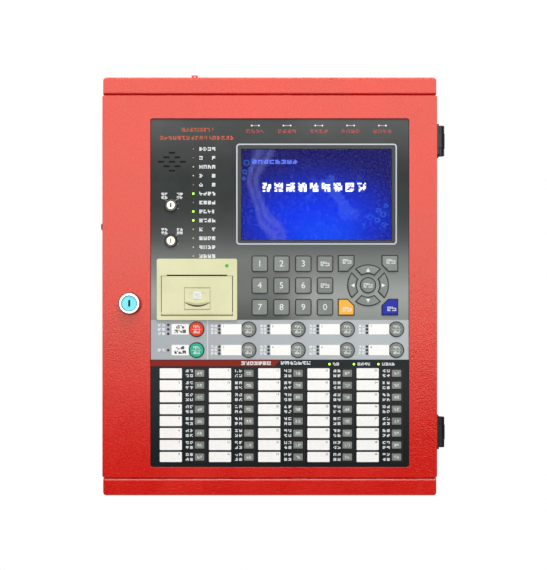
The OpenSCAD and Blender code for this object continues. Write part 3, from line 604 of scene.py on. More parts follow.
PRINTER_GREEN = lens("printer_green_lens", (28, 120, 16), (48, 160, 30), 0.35, (70, 200, 40))
WHITE_GLOW = glowing_ink("white_screen_ink", (244, 246, 255), (224, 230, 255), 0.9)
BLUE_GLOW = glowing_ink("blue_screen_ink", (60, 96, 236), (84, 118, 248), 0.7)


# ---------------------------------------------------------------- meshes

def new_object(name, data):
    made = bpy.data.objects.new(name, data)
    bpy.context.scene.collection.objects.link(made)
    return made


def new_piece(name, mesh, body, slot, material=None):
    """An object at the origin that rides on a body and takes its finish from a slot."""
    piece = new_object(name, mesh)
    mesh.materials.clear()
    mesh.materials.append(material or FINISHES[slot])
    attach(piece, body)
    return piece


def applied(piece):
    """The piece's mesh with its modifiers made real."""
    mesh = bpy.data.meshes.new_from_object(
        piece.evaluated_get(bpy.context.evaluated_depsgraph_get()))
    piece.modifiers.clear()
    return mesh


def mesh_from(bm, name, outward=True):
    """A mesh from a finished bmesh, its faces turned outwards."""
    if outward:
        bmesh.ops.recalc_face_normals(bm, faces=bm.faces)
    mesh = bpy.data.meshes.new(name)
    bm.to_mesh(mesh)
    bm.free()
    return mesh


def smooth(mesh, angle=32):
    mesh.polygons.foreach_set("use_smooth", [True] * len(mesh.polygons))
    mesh.set_sharp_from_angle(angle=math.radians(angle))


def welded(node):
    """A CAD node's mesh with its loose triangles joined."""
    bm = bmesh.new()
    bm.from_mesh(NODES[node].data)
    bmesh.ops.remove_doubles(bm, verts=bm.verts, dist=WELD)
    return bm


def flat_faced(node):
    """The same with its triangles dissolved into flat faces."""
    bm = welded(node)
    bmesh.ops.dissolve_limit(bm, angle_limit=math.radians(0.8), verts=bm.verts, edges=bm.edges)
    return mesh_from(bm, node + "_finished", outward=False)


def finished(node, slot, edge, segments=2, material=None):
    """A CAD node with its sharp edges rounded, standing for the node."""
    piece = new_object(node + "_finished", flat_faced(node))
    if edge:
        rounding = piece.modifiers.new("rounded edges", "BEVEL")
        rounding.width = edge * MM
        rounding.segments = segments
        rounding.limit_method = "ANGLE"
        rounding.angle_limit = math.radians(38)
    piece.modifiers.new("flat faces stay flat", "WEIGHTED_NORMAL").keep_sharp = True
    smooth(piece.data, 60 if edge else 32)
    piece.data = applied(piece)
    piece.data.materials.clear()
    piece.data.materials.append(material or FINISHES[slot])
    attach(piece, BODY_OF[node])
    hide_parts(node)


def islands(node):
    """The centre and size of each separate solid in a CAD node."""
    bm = welded(node)
    found, seen = [], set()
    for start in bm.verts:
        if start in seen:
            continue
        group, todo = [], [start]
        seen.add(start)
        while todo:
            v = todo.pop()
            group.append(v.co.copy())
            for e in v.link_edges:
                other = e.other_vert(v)
                if other not in seen:
                    seen.add(other)
                    todo.append(other)
        low = Vector(min(c[i] for c in group) for i in range(3))
        high = Vector(max(c[i] for c in group) for i in range(3))
        found.append(((low + high) / 2, high - low))
    bm.free()
    return found


# ---------------------------------------------------------------- repeated parts

def repeat_tree(name, **numbers):
    """A geometry tree with named inputs, and the ends to wire between."""
    return new_tree("GeometryNodeTree", name,
                    {"Points": "Geometry", **spaced(numbers), "Finish": "Material"},
                    {"Parts": "Geometry"})


def realised(w, given, out, geometry):
    solid = w.first("RealizeInstances", Geometry=geometry)
    w.feed(out["Parts"], w.first("SetMaterial", Geometry=solid, Material=given["Finish"]))


def attribute(w, name):
    return w.add("GeometryNodeInputNamedAttribute", {"Name": name},
                 data_type="FLOAT_VECTOR").outputs[0]


def thinned_grid(w, given, across, up, columns, rows, **scale):
    """The points of an upright grid at each place, some left out with the seed."""
    grid = w.first("MeshGrid", Size_X=across, Size_Y=up, Vertices_X=columns, Vertices_Y=rows)
    upright = w.first("Transform", Geometry=grid, Rotation=TO_FRONT)
    placed = w.first("InstanceOnPoints", Points=given["Points"], Instance=upright, **scale)
    spots = w.first("MeshToPoints", Mesh=w.first("RealizeInstances", Geometry=placed))
    empty = w.add("FunctionNodeRandomValue", data_type="BOOLEAN")
    w.feed(empty.inputs["Probability"], w.minus(1.0, given["Fill"]))
    w.feed(empty.inputs["Seed"], given["Seed"])
    return w.add("GeometryNodeDeleteGeometry", {"Geometry": spots, "Selection": empty.outputs[3]},
                 domain="POINT").outputs[0]


def make_printed_marks():
    """Blocks of small cells that stand in for printed labels: one block at each point."""
    w, given, out = repeat_tree("printed_marks", Cells_Across=3, Cells_Up=3, Fill=0.75, Gap=0.22,
                                Seed=3)
    columns, rows, size = given["Cells Across"], given["Cells Up"], attribute(w, "size")
    kept = thinned_grid(w, given, w.minus(1.0, w.over(1.0, columns)),
                        w.minus(1.0, w.over(1.0, rows)), columns, rows, Scale=size)
    cube = w.first("MeshCube", Size=(1.0, 1.0, 1.0))
    solid = w.minus(1.0, given["Gap"])
    part = w.vector(X=w.over(solid, columns), Y=1.0, Z=w.over(solid, rows))
    realised(w, given, out, w.first("InstanceOnPoints", Points=kept, Instance=cube,
                                    Scale=w.stretch(size, part)))
    return w.tree


def make_domed_lenses():
    """Low domes, one at each point, with their flat side on the fascia."""
    w, given, out = repeat_tree("domed_lenses", Radius=1.3 * MM, Height=0.5 * MM, Sides=20)
    ball = w.first("MeshUVSphere", Segments=given["Sides"], Rings=10, Radius=1.0)
    flat = w.vector(X=given["Radius"], Y=given["Height"], Z=given["Radius"])
    dome = w.first("Transform", Geometry=ball, Scale=flat)
    soft = w.first("SetShadeSmooth", Geometry=dome)
    realised(w, given, out, w.first("InstanceOnPoints", Points=given["Points"], Instance=soft))
    return w.tree


def make_cross_screws():
    """Low-headed screws with a cross recess; each point carries the turn of its head."""
    w, given, out = repeat_tree("cross_screws", Radius=3 * MM, Height=2 * MM, Seed=5)
    radius, height = given["Radius"], given["Height"]
    head = w.first("MeshCone", Vertices=28, Side_Segments=1, Radius_Top=w.times(radius, 0.72),
                   Radius_Bottom=radius, Depth=height)
    lift = w.vector(Z=w.times(height, 0.95))
    cross = w.add("GeometryNodeJoinGeometry")
    for long, short in (("X", "Y"), ("Y", "X")):
        bar = w.first("MeshCube", Size=w.vector(**{long: w.times(radius, 1.15),
                                                   short: w.times(radius, 0.24), "Z": height}))
        w.feed(cross.inputs[0], w.first("Transform", Geometry=bar, Translation=lift))
    cut = w.add("GeometryNodeMeshBoolean", {0: head, 1: cross.outputs[0]}, operation="DIFFERENCE")
    roll = w.add("FunctionNodeRandomValue", {3: 3.1, "Seed": given["Seed"]}, data_type="FLOAT")
    spun = w.first("InstanceOnPoints", Points=given["Points"], Instance=cut.outputs[0],
                   Rotation=attribute(w, "facing"))
    realised(w, given, out, w.first("RotateInstances", Instances=spun,
                                    Rotation=w.vector(Z=roll.outputs[1])))
    return w.tree


def make_board_parts():
    """Small chips strewn over a grid on a board, with a fixed seed."""
    w, given, out = repeat_tree(
        "board_parts", Width=0.1, Height=0.1, Columns=10, Rows=10, Fill=0.5, Part_Width=3 * MM,
        Part_Height=2 * MM, Part_Depth=1 * MM, Seed=2)
    kept = thinned_grid(w, given, given["Width"], given["Height"], given["Columns"], given["Rows"])
    chip = w.first("MeshCube", Size=w.vector(X=given["Part Width"], Y=given["Part Depth"],
                                             Z=given["Part Height"]))
    grow = w.add("FunctionNodeRandomValue", {0: (0.5, 0.8, 0.6), 1: (1.3, 1.0, 1.2),
                 "Seed": w.plus(given["Seed"], 7.0)}, data_type="FLOAT_VECTOR")
    realised(w, given, out, w.first("InstanceOnPoints", Points=kept, Instance=chip,
                                    Scale=grow.outputs[0]))
    return w.tree


def make_cans():
    """Upright cans on a board: capacitors with a rolled edge."""
    w, given, out = repeat_tree("cans", Radius=4 * MM, Length=12 * MM)
    radius, length = given["Radius"], given["Length"]
    can = w.first("MeshCylinder", Vertices=24, Radius=radius, Depth=length)
    lip = w.first("MeshCone", Vertices=24, Radius_Top=w.times(radius, 0.78), Radius_Bottom=radius,
                  Depth=w.times(length, 0.08))
    both = w.add("GeometryNodeJoinGeometry")
    w.feed(both.inputs[0], can)
    w.feed(both.inputs[0], w.first("Transform", Geometry=lip,
                                   Translation=w.vector(Z=w.times(length, 0.5))))
    realised(w, given, out, w.first("InstanceOnPoints", Points=given["Points"],
                                    Instance=both.outputs[0], Rotation=attribute(w, "facing")))
    return w.tree


PRINTED_MARKS = make_printed_marks()
DOMED_LENSES = make_domed_lenses()
CROSS_SCREWS = make_cross_screws()
BOARD_PARTS = make_board_parts()
CANS = make_cans()


def repeated(name, tree, places, body, slot, material=None, sizes=None, facing=None, **values):
    """Runs a geometry tree over the given places and keeps the result as a plain mesh."""
    mesh = bpy.data.meshes.new(name)
    mesh.from_pydata([tuple(p) for p in places], [], [])
    for label, data in (("size", sizes), ("facing", facing)):
        if data is not None:
            layer = mesh.attributes.new(label, "FLOAT_VECTOR", "POINT")
            layer.data.foreach_set("vector", [c for row in data for c in row])
    piece = new_object(name, mesh)
    run = piece.modifiers.new(tree.name, "NODES")
    run.node_group = tree
    values["Finish"] = material or FINISHES[slot]
    for key, value in spaced(values).items():
        run[tree.interface.items_tree[key].identifier] = value
    bpy.context.view_layer.update()
    piece.data = applied(piece)
    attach(piece, body)
    return piece


def marks(name, blocks, body, slot, material, front, **values):
    """Printed blocks: each is (x, z, width, height) in millimetres from the world's origin."""
    places = [(x * MM, front, z * MM) for x, z, _, _ in blocks]
    sizes = [(wide * MM, 2 * PRINT, high * MM) for _, _, wide, high in blocks]
    return repeated(name, PRINTED_MARKS, places, body, slot, material, sizes=sizes, **values)


def film_marks(name, blocks, material, **values):
    marks(name, blocks, "door", "slate_overlay", material, FASCIA_FRONT, **values)


def row(x0, x1, z, count, height, fill=0.86):
    """A row of blocks whose outer edges are at x0 and x1."""
    pitch = (x1 - x0) / count
    return [(x0 + (i + 0.5) * pitch, z, pitch * fill, height) for i in range(count)]


def digits(name, texts, body, slot, material, front):
    """Numerals as thin raised prints: each is (text, x, z, height), in millimetres."""
    bm = bmesh.new()
    upright = Matrix.Rotation(math.pi / 2, 4, "X")
    for text, x, z, height in texts:
        curve = bpy.data.curves.new(name, "FONT")
        curve.body = text
        curve.size = height / 0.7 * MM
        curve.align_x = curve.align_y = "CENTER"
        curve.extrude = PRINT
        curve.resolution_u = 3
        holder = new_object(name, curve)
        bpy.context.view_layer.update()
        part = applied(holder)
        part.transform(Matrix.Translation((x * MM, front, z * MM)) @ upright)
        bm.from_mesh(part)
        bpy.data.objects.remove(holder)
        bpy.data.meshes.remove(part)
    bmesh.ops.remove_doubles(bm, verts=bm.verts, dist=0.001 * MM)
    return new_piece(name, mesh_from(bm, name, outward=False), body, slot, material)


def prisms(name, outlines, y0, y1, body, slot, material=None):
    """Closed prisms from X/Z outlines in millimetres, between two depths in metres."""
    bm = bmesh.new()
    for outline in outlines:
        back = [bm.verts.new((x * MM, y1, z * MM)) for x, z in outline]
        front = [bm.verts.new((x * MM, y0, z * MM)) for x, z in outline]
        bm.faces.new(front)
        bm.faces.new(list(reversed(back)))
        for i in range(len(outline)):
            j = (i + 1) % len(outline)
            bm.faces.new((front[j], front[i], back[i], back[j]))
    return new_piece(name, mesh_from(bm, name), body, slot, material)


def printed(name, outlines, y, body, slot, material):
    """Prisms as thin as a print on a face at depth y."""
    return prisms(name, outlines, y - PRINT, y + PRINT, body, slot, material)


def film_print(name, outlines, material):
    printed(name, outlines, FASCIA_FRONT, "door", "slate_overlay", material)


def box_line(cx, cz, w, h):
    """The four corners of a rectangle."""
    return [(cx - w / 2, cz - h / 2), (cx + w / 2, cz - h / 2), (cx + w / 2, cz + h / 2),
            (cx - w / 2, cz + h / 2)]


def round_box(cx, cz, w, h, r, steps=5):
    """Points round a rounded rectangle, in millimetres."""
    points = []
    for k, (sx, sz) in enumerate(((1, 1), (-1, 1), (-1, -1), (1, -1))):
        for i in range(steps + 1):
            a = math.pi / 2 * (k + i / steps)
            points.append((cx + sx * (w / 2 - r) + r * math.cos(a),
                           cz + sz * (h / 2 - r) + r * math.sin(a)))
    return points


def ring_plate(name, outer, inner, y0, y1, body, slot, material=None):
    """A flat ring between two outlines with the same number of points."""
    bm = bmesh.new()
    of, ob, nf, nb = [[bm.verts.new((x * MM, y, z * MM)) for x, z in line]
                      for line in (outer, inner) for y in (y0, y1)]
    for i in range(len(outer)):
        j = (i + 1) % len(outer)
        for quad in ((of[i], of[j], nf[j], nf[i]), (ob[j], ob[i], nb[i], nb[j]),
                     (of[j], of[i], ob[i], ob[j]), (nf[i], nf[j], nb[j], nb[i])):
            bm.faces.new(quad)
    return new_piece(name, mesh_from(bm, name), body, slot, material)


def film_ring(name, outer, inner, material):
    """A printed ring on the fascia's film."""
    ring_plate(name, outer, inner, FASCIA_FRONT - PRINT, FASCIA_FRONT + PRINT, "door",
               "slate_overlay", material)


def turned(name, centre, profile, body, slot, material, sides=48):
    """A ring turned about the Y axis from a closed (radius, depth) profile in millimetres."""
    bm = bmesh.new()
    rings = []
    for i in range(sides):
        a = 2 * math.pi * i / sides
        rings.append([bm.verts.new((centre.x + r * MM * math.cos(a), y * MM,
                                    centre.z + r * MM * math.sin(a))) for r, y in profile])
    for i in range(sides):
        here, there = rings[i], rings[(i + 1) % sides]
        for j in range(len(profile)):
            k = (j + 1) % len(profile)
            bm.faces.new((here[j], there[j], there[k], here[k]))
    mesh = mesh_from(bm, name)
    smooth(mesh, 24)
    return new_piece(name, mesh, body, slot, material)


# ---------------------------------------------------------------- the CAD's own parts

ROUNDED = {                                 # node: (slot, edge in mm)
    "cabinet_shell": ("red_powder_coat", 0.0), "gland_plate": ("red_powder_coat", 0.4),
    "door_shell": ("red_powder_coat", 1.2), "hinge_fixed_leaves": ("black_zinc", 0.4),
    "hinge_door_leaves": ("black_zinc", 0.4), "cable_gland": ("black_plastic", 0.3),
    "battery_bracket": ("galvanised_steel", 0.3), "batteries": ("battery_case", 1.2),
    "printer_body": ("cream_plastic", 0.0), "printer_cover": ("cream_plastic", 0.4),
    "key_switch_bodies": ("chromed_metal", 0.4), "key_switch_upper": ("satin_metal", 0.3),
    "key_switch_lower": ("satin_metal", 0.3), "cam_lock_body": ("chromed_metal", 0.6),
    "cam_lock_plug": ("satin_metal", 0.2), "zone_keys": ("grey_key", 0.25),
    "label_cards": ("white_card", 0.08), "terminal_blocks": ("green_plastic", 0.3),
}
FINER = {"key_switch_bodies": "switch_collar", "key_switch_upper": "switch_plug",
         "key_switch_lower": "switch_plug"}
KEY_EDGE = 0.45                             # millimetres
AS_BUILT = {
    "main_board": "green_board", "display_board": "green_board", "power_supply": "galvanised_steel",
    "door_gasket": "black_foam", "fascia_panel": "slate_overlay", "lcd_window": "clear_window",
    "lcd_module": "blue_screen", "speaker": "speaker_cone", "paper_roll": "white_paper",
    "printer_latch": "cream_plastic",
}
KEY_NODES = [n for n in NODES
             if n.startswith(("key_", "button_")) and not n.startswith("key_switch")]
KEY_SLOTS = {**dict.fromkeys(KEY_NODES, "grey_key"), "key_reset": "orange_key",
             "key_silence": "blue_key", "button_stop": "red_key", "button_start": "green_key"}
SWITCHES = ("upper", "lower")


def finish_cad_parts():
    for node, (slot, edge) in ROUNDED.items():
        finished(node, slot, edge, 3 if node == "door_shell" else 2,
                 FINISHES[FINER.get(node, slot)])
    for node in KEY_NODES:
        finished(node, KEY_SLOTS[node], KEY_EDGE)
    for node, slot in AS_BUILT.items():
        data = NODES[node].data
        data.materials.clear()
        data.materials.append(FINISHES[slot])


# ---------------------------------------------------------------- prints on the fascia

LINE_TOP, LINE_PITCH = 172, 10.68           # names beside the lamp column, from the middle
SHORT_LINES = (1, 3, 4, 9)                  # the names of two marks
ALARM_X, ALARM_Z, ALARM_PITCH = -29.3, 200, 38
STRIP_ROWS, STRIP_PITCH = (-51.2, -76.1), 58.87
SWITCH_LINES = ((-8.6, 7.6, -4.6, 5.6), (8.6, 7.6, 4.6, 5.6), (8.6, 2.4, 6.6, 1.6),
                (7.4, -3.4, 9.0, -4.2))     # both ends of each, from the switch's middle
LINE_HALF_WIDTH = 0.3


def print_front_labels():
    fx, fz = FASCIA.x / MM, FASCIA.z / MM
    alarms = [(fx + ALARM_X + ALARM_PITCH * n, fz + ALARM_Z) for n in range(5)]
    switches = [face_middle("key_switch_" + name)[:2] for name in SWITCHES]
    title = row(-108, -67, 187.5, 10, 4.8, 0.74) + row(-132, -43, 177.8, 17, 4.8, 0.78)
    film_marks("title_marks", title, ORANGE_INK, Seed=11, Fill=0.72, Gap=0.12)

    white = []
    for i in range(13):
        line = row(-84.8, -64.6, fz + LINE_TOP - LINE_PITCH * i, 4, 4.5, 0.8)
        white += [line[0], line[3]] if i in SHORT_LINES else line
    names = [b for x, z in alarms for b in row(x - 11.4, x + 11.4, z - 6.8, 4, 4.6, 0.76)]
    film_marks("alarm_lamp_marks", names, RED_INK, Seed=5, Fill=0.72)
    white += [(x + dx, z + dz, 3.3, 3.3) for x, z in switches
              for dx in (-9.8, -5.9, 8.6, 12.4) for dz in (13.4, 9.4)]
    # strip: names beside the lamp stacks, and on the dark field beside the zone keys
    strip = [(x + STRIP_PITCH * n, z + dz, 3.2, 3.0) for n in range(4) for z in STRIP_ROWS
             for dz in (-4.1, 0, 4.1) for x in (-68.7, -64.6)]
    strip += [(x, STRIP_ROWS[0] + dz, 3.6, 3.3) for dz in (-5.3, 0, 5.3) for x in (-132, -127)]
    strip += [(x, STRIP_ROWS[1], 3.6, 3.3) for x in (-132, -127)]
    film_marks("strip_marks", strip, WHITE_INK, Seed=8, Fill=0.85, Gap=0.12)
    white += [(c.x / MM - 12.3 + dx, c.z / MM + dz, 3.5, 3.5) for c, _ in islands("zone_keys")
              for dx in (-2.5, 2.5) for dz in (-2.9, 2.9)]
    stripe_z = fz + (STRIPE_LOW + STRIPE_HIGH) / 2
    white += row(-34.5, 1.5, stripe_z, 7, 4.4, 0.88) + row(13, 49, stripe_z + 0.3, 7, 4.2, 0.88)
    for x, count in ((71.4, 2), (100.7, 4), (130, 4)):
        white += row(x + 4, x + 4 + 3.9 * count, stripe_z - 1.0, count, 3.6, 0.86)
    film_marks("white_marks", white, WHITE_INK, Seed=21, Fill=0.78, Gap=0.14)

    # capsules between the alarm lamps, and the switch lines
    lines = [round_box(x, z, 8.6, 0.9, 0.44, 3) for x, z in alarms]
    for x, z in switches:
        for x0, z0, x1, z1 in SWITCH_LINES:
            d = Vector((x1 - x0, z1 - z0)).normalized() * LINE_HALF_WIDTH
            lines.append([(x + x0 - d.y, z + z0 + d.x), (x + x0 + d.y, z + z0 - d.x),
                          (x + x1 + d.y, z + z1 - d.x), (x + x1 - d.y, z + z1 + d.x)])
    film_print("fine_lines", lines, PALE_INK)


def silhouette(node):
    """The outline of a key's front face, in order round it, in millimetres from the origin."""
    mesh = flat_faced(node)
    bm = bmesh.new()
    bm.from_mesh(mesh)
    bpy.data.meshes.remove(mesh)
    front = min(v.co.y for v in bm.verts)
    faces = {f for f in bm.faces if all(v.co.y < front + 0.01 * MM for v in f.verts)}
    edges = [e for e in bm.edges if sum(f in faces for f in e.link_faces) == 1]
    start = edges[0].verts[0]
    line, at, last = [], start, None
    while True:
        line.append((at.co.x / MM, at.co.z / MM))
        step = next(e for e in edges if at in e.verts and e is not last)
        at, last = step.other_vert(at), step
        if at is start:
            break
    bm.free()
    return line


def grown(line, by):
    """The same outline moved outward by a distance."""
    area = sum(a[0] * b[1] - b[0] * a[1] for a, b in zip(line, line[1:] + line[:1]))
    sign = 1 if area > 0 else -1
    out = []
    for i, here in enumerate(line):
        p, q, r = Vector(line[i - 1]), Vector(here), Vector(line[(i + 1) % len(line)])
        n1 = Vector(((q - p).y, -(q - p).x)).normalized() * sign
        n2 = Vector(((r - q).y, -(r - q).x)).normalized() * sign
        n = (n1 + n2).normalized()
        out.append(tuple(q + n * by / max(n.dot(n1), 0.5)))
    return out


GAP_SHADE_INSET = 0.2                          # key to the line round it, in millimetres
ZONE_KEY_MAX = 14                           # wider solids of zone_keys aren't single keys


def paint_key_gap_shade():
    """Painted shade round every key: thin dark lines on the film over the gap round it."""
    for node in KEY_NODES:
        line = silhouette(node)
        far = 1.3 if node.startswith("button_") else 1.35
        square = node[4:].isdigit() or node in ("key_isolate", "key_test")
        # painted shade: a dark ring over the gap round the key
        film_ring(node + "_surround", grown(line, far), grown(line, GAP_SHADE_INSET),
                  MAROON_INK if square else BLACK_INK)
    lines = []
    for c, s in islands("zone_keys"):
        x, z, w, h = c.x / MM, c.z / MM, s.x / MM, s.z / MM
        if w <= ZONE_KEY_MAX:
            # painted shade: thin dark lines round each zone key
            lines += [box_line(x, z + side * (h / 2 + 0.45), w + 1.5, 0.5) for side in (1, -1)]
            lines += [box_line(x + side * (w / 2 + 0.5), z, 0.5, h + 1.2) for side in (1, -1)]
    film_print("zone_key_surrounds", lines, MAROON_INK)


def fit_switch_collars():
    y = FASCIA_FRONT / MM
    profile = ((7.9, y + 0.02), (7.9, y - 0.5), (7.2, y - 1.7), (6.5, y - 2.3), (6.1, y - 2.3),
               (5.6, y - 1.5), (5.25, y - 1.5), (5.0, y - 2.1), (4.92, y - 2.1), (4.92, y + 0.02))
    for name in SWITCHES:
        node = "key_switch_" + name
        turned(name + "_switch_collar", centre_of(node), profile, "door", "chromed_metal",
               FINISHES["switch_collar"])
        x, z, front = face_middle(node)
        # painted shade: a black insert for the dark key slot in the plug
        prisms(name + "_switch_slot", [round_box(x, z, 1.1, 5.0, 0.3, 2)], front - 0.02 * MM,
               front + 0.5 * MM, node, "satin_metal", FINISHES["speaker_cone"])


LOCK_Z = -20                                # height of the lock's axis, in millimetres


def fit_lock_skirt():
    x, _, front = face_middle("cam_lock_plug")
    axis = Vector((x * MM, 0, LOCK_Z * MM))
    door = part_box("door_shell")[0].y / MM
    turned("lock_skirt", axis, ((12.2, door - 0.02), (14.0, door - 0.02), (14.0, door - 1.0),
                                (13.6, door - 1.8), (13.2, door - 3.4), (12.6, door - 7.6),
                                (12.2, door - 7.8)), "door", "chromed_metal",
           FINISHES["dark_nickel"])
    # painted shadow: a thin dark ring between the plug's face and the bezel
    turned("lock_bezel_groove", axis, ((9.7, door - 9.0), (9.7, door - 9.06), (8.9, door - 9.06),
                                       (8.9, door - 9.0)), "door", "chromed_metal",
           FINISHES["switch_collar"])
    # painted shade: a black plate in the key slot so it reads dark
    prisms("lock_key_slot", [round_box(x, LOCK_Z + 0.4, 2.3, 7.6, 0.9, 3)], front - 0.03 * MM,
           front + 1.0 * MM, "cam_lock_plug", "satin_metal", FINISHES["speaker_cone"])


ZONE_CARD = 25.5                            # a zone card is wider than this, in millimetres
BUTTON_CARD = 22                            # a card beside an output button is wider than this


def print_card_numbers():
    cards = [(c.x / MM, c.z / MM, s.x / MM) for c, s in islands("label_cards")]
    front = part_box("label_cards")[0].y

    def by_column(card):
        return round(card[0] * MM, 3), -card[1]
    zone = sorted((c for c in cards if c[2] > ZONE_CARD), key=by_column)
    wide = sorted((c for c in cards if BUTTON_CARD < c[2] < ZONE_CARD), key=by_column)
    left = sorted((c for c in cards if c[2] < BUTTON_CARD), key=lambda c: -c[1])
    texts = [(str(i + 1), x + 10.0, z + 3.3, 2.5) for i, (x, z, _) in enumerate(zone)]
    texts += [(str(i + 1), x - 9.4, z + 3.4, 2.5) for i, (x, z, _) in enumerate(wide)]
    digits("card_numbers", texts, "door", "white_card", DARK_INK, front)
    names = []
    for x, z, _ in left:
        names += row(x - 5.4, x + 5.4, z + 2.9, 2, 3.9, 0.8)
        names += row(x - 7.2, x + 7.2, z - 2.4, 3, 4.1, 0.86)
    marks("card_names", names, "door", "white_card", BLACK_INK, front, Seed=14, Fill=0.78, Gap=0.06)


WORD_SHIFT = {"key_isolate": (0, 0), "key_test": (0, 0), "key_ok": (0, 0), "key_delete": (0.9, 2.4),
              "key_exit": (1.2, 2.4), "key_reset": (1.0, -2.4), "key_silence": (2.2, -2.0)}


def cap_marks(node, blocks, **values):
    marks(node + "_marks", blocks, node, KEY_SLOTS[node], WHITE_INK, face_middle(node)[2], **values)


def cap_print(node, ending, outline):
    printed(node + ending, [outline], face_middle(node)[2], node, KEY_SLOTS[node], WHITE_INK)


def print_key_caps():
    for node in ["key_%d" % i for i in range(10)]:
        x, z, y = face_middle(node)
        digits(node + "_numeral", [(node[4:], x, z, 7.4)], node, KEY_SLOTS[node], WHITE_INK, y)
    for node, (dx, dz) in WORD_SHIFT.items():
        x, z, _ = face_middle(node)
        cap_marks(node, row(x + dx - 5.6, x + dx + 5.6, z + dz, 2, 5.4, 0.9), Seed=4, Fill=0.76,
                  Cells_Across=4, Cells_Up=4)
    for node, turn in (("key_right", 0), ("key_up", 90), ("key_left", 180), ("key_down", 270)):
        x, z, _ = face_middle(node)
        spin = Matrix.Rotation(math.radians(turn), 2)
        tip = [spin @ Vector(p) for p in ((2.6, 0.0), (-1.9, 2.4), (-1.9, -2.4))]
        cap_print(node, "_arrow", [(x + p.x, z + p.y) for p in tip])
    for node in KEY_NODES:
        if node.startswith("button_"):
            x, z, _ = face_middle(node)
            words = [b for dz in (2.9, -2.9) for b in row(x - 3.9, x + 3.9, z + dz, 2, 3.5, 0.92)]
            cap_marks(node, words, Seed=6, Fill=0.72)
            cap_print(node, "_line", box_line(x, z, 11.2, 0.4))
    caps = [(c.x / MM, c.z / MM) for c, _ in islands("zone_keys")]
    marks("zone_key_marks", [b for x, z in caps for b in row(x - 2.9, x + 2.9, z, 2, 3.4, 0.9)],
          "zone_keys", "grey_key", WHITE_INK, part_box("zone_keys")[0].y, Seed=9, Fill=0.62)


# ---------------------------------------------------------------- lamps and screen

SLOT_PITCH, SLOT_ROW = 13.1, 5.35           # sound slots across and up, in millimetres


def shade_speaker_slots():
    """A black sheet in each sound slot as painted shade, with a painted shadow round its mouth."""
    x0, z0, _ = face_middle("speaker")
    front = FASCIA_FRONT
    mouths = [(x0 + (j - (2 - abs(i)) / 2) * SLOT_PITCH, z0 + i * SLOT_ROW)
              for i in range(-2, 3) for j in range(3 - abs(i))]
    # painted shadow: a dark ring round each slot's mouth
    for k, (x, z) in enumerate(mouths):
        film_ring("sound_slot_edge_%d" % k, round_box(x, z, 8.5, 2.9, 1.45),
                  round_box(x, z, 7.8, 2.2, 1.1), BLACK_INK)
    # painted shade: a black sheet in the slots so they read dark
    prisms("sound_slot_gauze", [round_box(x, z, 7.7, 2.1, 1.05) for x, z in mouths],
           front + 0.3 * MM, front + 0.8 * MM, "door", "black_foam", FINISHES["speaker_cone"])


COLUMN_TONES = [DIM_RED, DIM_RED, DIM_YELLOW, DIM_YELLOW, DIM_RED, LIT_GREEN, DIM_GREEN, LIT_GREEN,
                LIT_GREEN, DIM_YELLOW, DIM_YELLOW, DIM_YELLOW, DIM_YELLOW]


def fit_lamps():
    front = FASCIA_FRONT
    spots = [c for c, _ in islands("led_lenses")]
    pairs = [c for c in spots if c.z > 185 * MM]
    title_z = FASCIA.z - 85.4 * MM
    title = [c for c in spots if abs(c.z - title_z) < 1 * MM and c.x > 60 * MM]
    strip = [c for c in spots if c.z < -40 * MM and c not in title]
    column = sorted((c for c in spots if c.x < -80 * MM and c.z > 20 * MM and c not in pairs),
                    key=lambda c: -c.z)
    lamps = []
    for name, tone, places in (
            ("lit_green_lamps", LIT_GREEN, title), ("dim_green_lamp", DIM_GREEN, []),
            ("dim_red_lamps", DIM_RED, []), ("dim_yellow_lamps", DIM_YELLOW, []),
            ("alarm_lamps", WARM_WHITE, pairs)):
        places = places + [c for c, shade in zip(column, COLUMN_TONES) if shade is tone]
        radius = 1.3 if tone is LIT_GREEN else 0.9
        lamps.append(repeated(name, DOMED_LENSES, [(c.x, front, c.z) for c in places], "door",
                              "led_lens", tone, Radius=radius * MM))
    squares = [round_box(c.x / MM, c.z / MM, 2.7, 2.7, 0.5, 2) for c in strip]
    lamps.append(prisms("strip_lamps", squares, front - 0.3 * MM, front + PRINT, "door", "led_lens",
                        STRIP_DARK))
    for lamp in lamps:
        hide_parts("led_lenses")


def fit_screen():
    low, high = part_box("lcd_window")
    x, z, front = face_middle("lcd_window")
    w, h = (high.x - low.x) / MM, (high.z - low.z) / MM
    ring_plate("screen_border", round_box(x, z, w - 0.2, h - 0.2, 2),
               round_box(x, z - 0.6, 181, 110, 0.8), front - PRINT, front + PRINT, "door",
               "clear_window", SCREEN_BORDER)
    ring_plate("screen_bezel", round_box(x, z, w - 2, h - 2, 1.6),
               round_box(x, z - 0.6, 178.6, 108, 0.8), high.y - 1.0 * MM, high.y - 0.04 * MM,
               "door", "black_plastic")
    picture = high.y - 0.1 * MM
    heading = [(x - 59.5 + i * 14.2, z + 8.5, 10.2, 10.6) for i in range(9)]
    marks("screen_heading", heading, "door", "blue_screen", WHITE_GLOW, picture, Seed=31, Fill=0.64,
          Cells_Across=6, Cells_Up=6, Gap=0.05)
    marks("screen_corner_marks", row(x - 78, x - 22, z + 39, 8, 5.2, 0.82), "door", "blue_screen",
          BLUE_GLOW, picture, Seed=17, Fill=0.8)


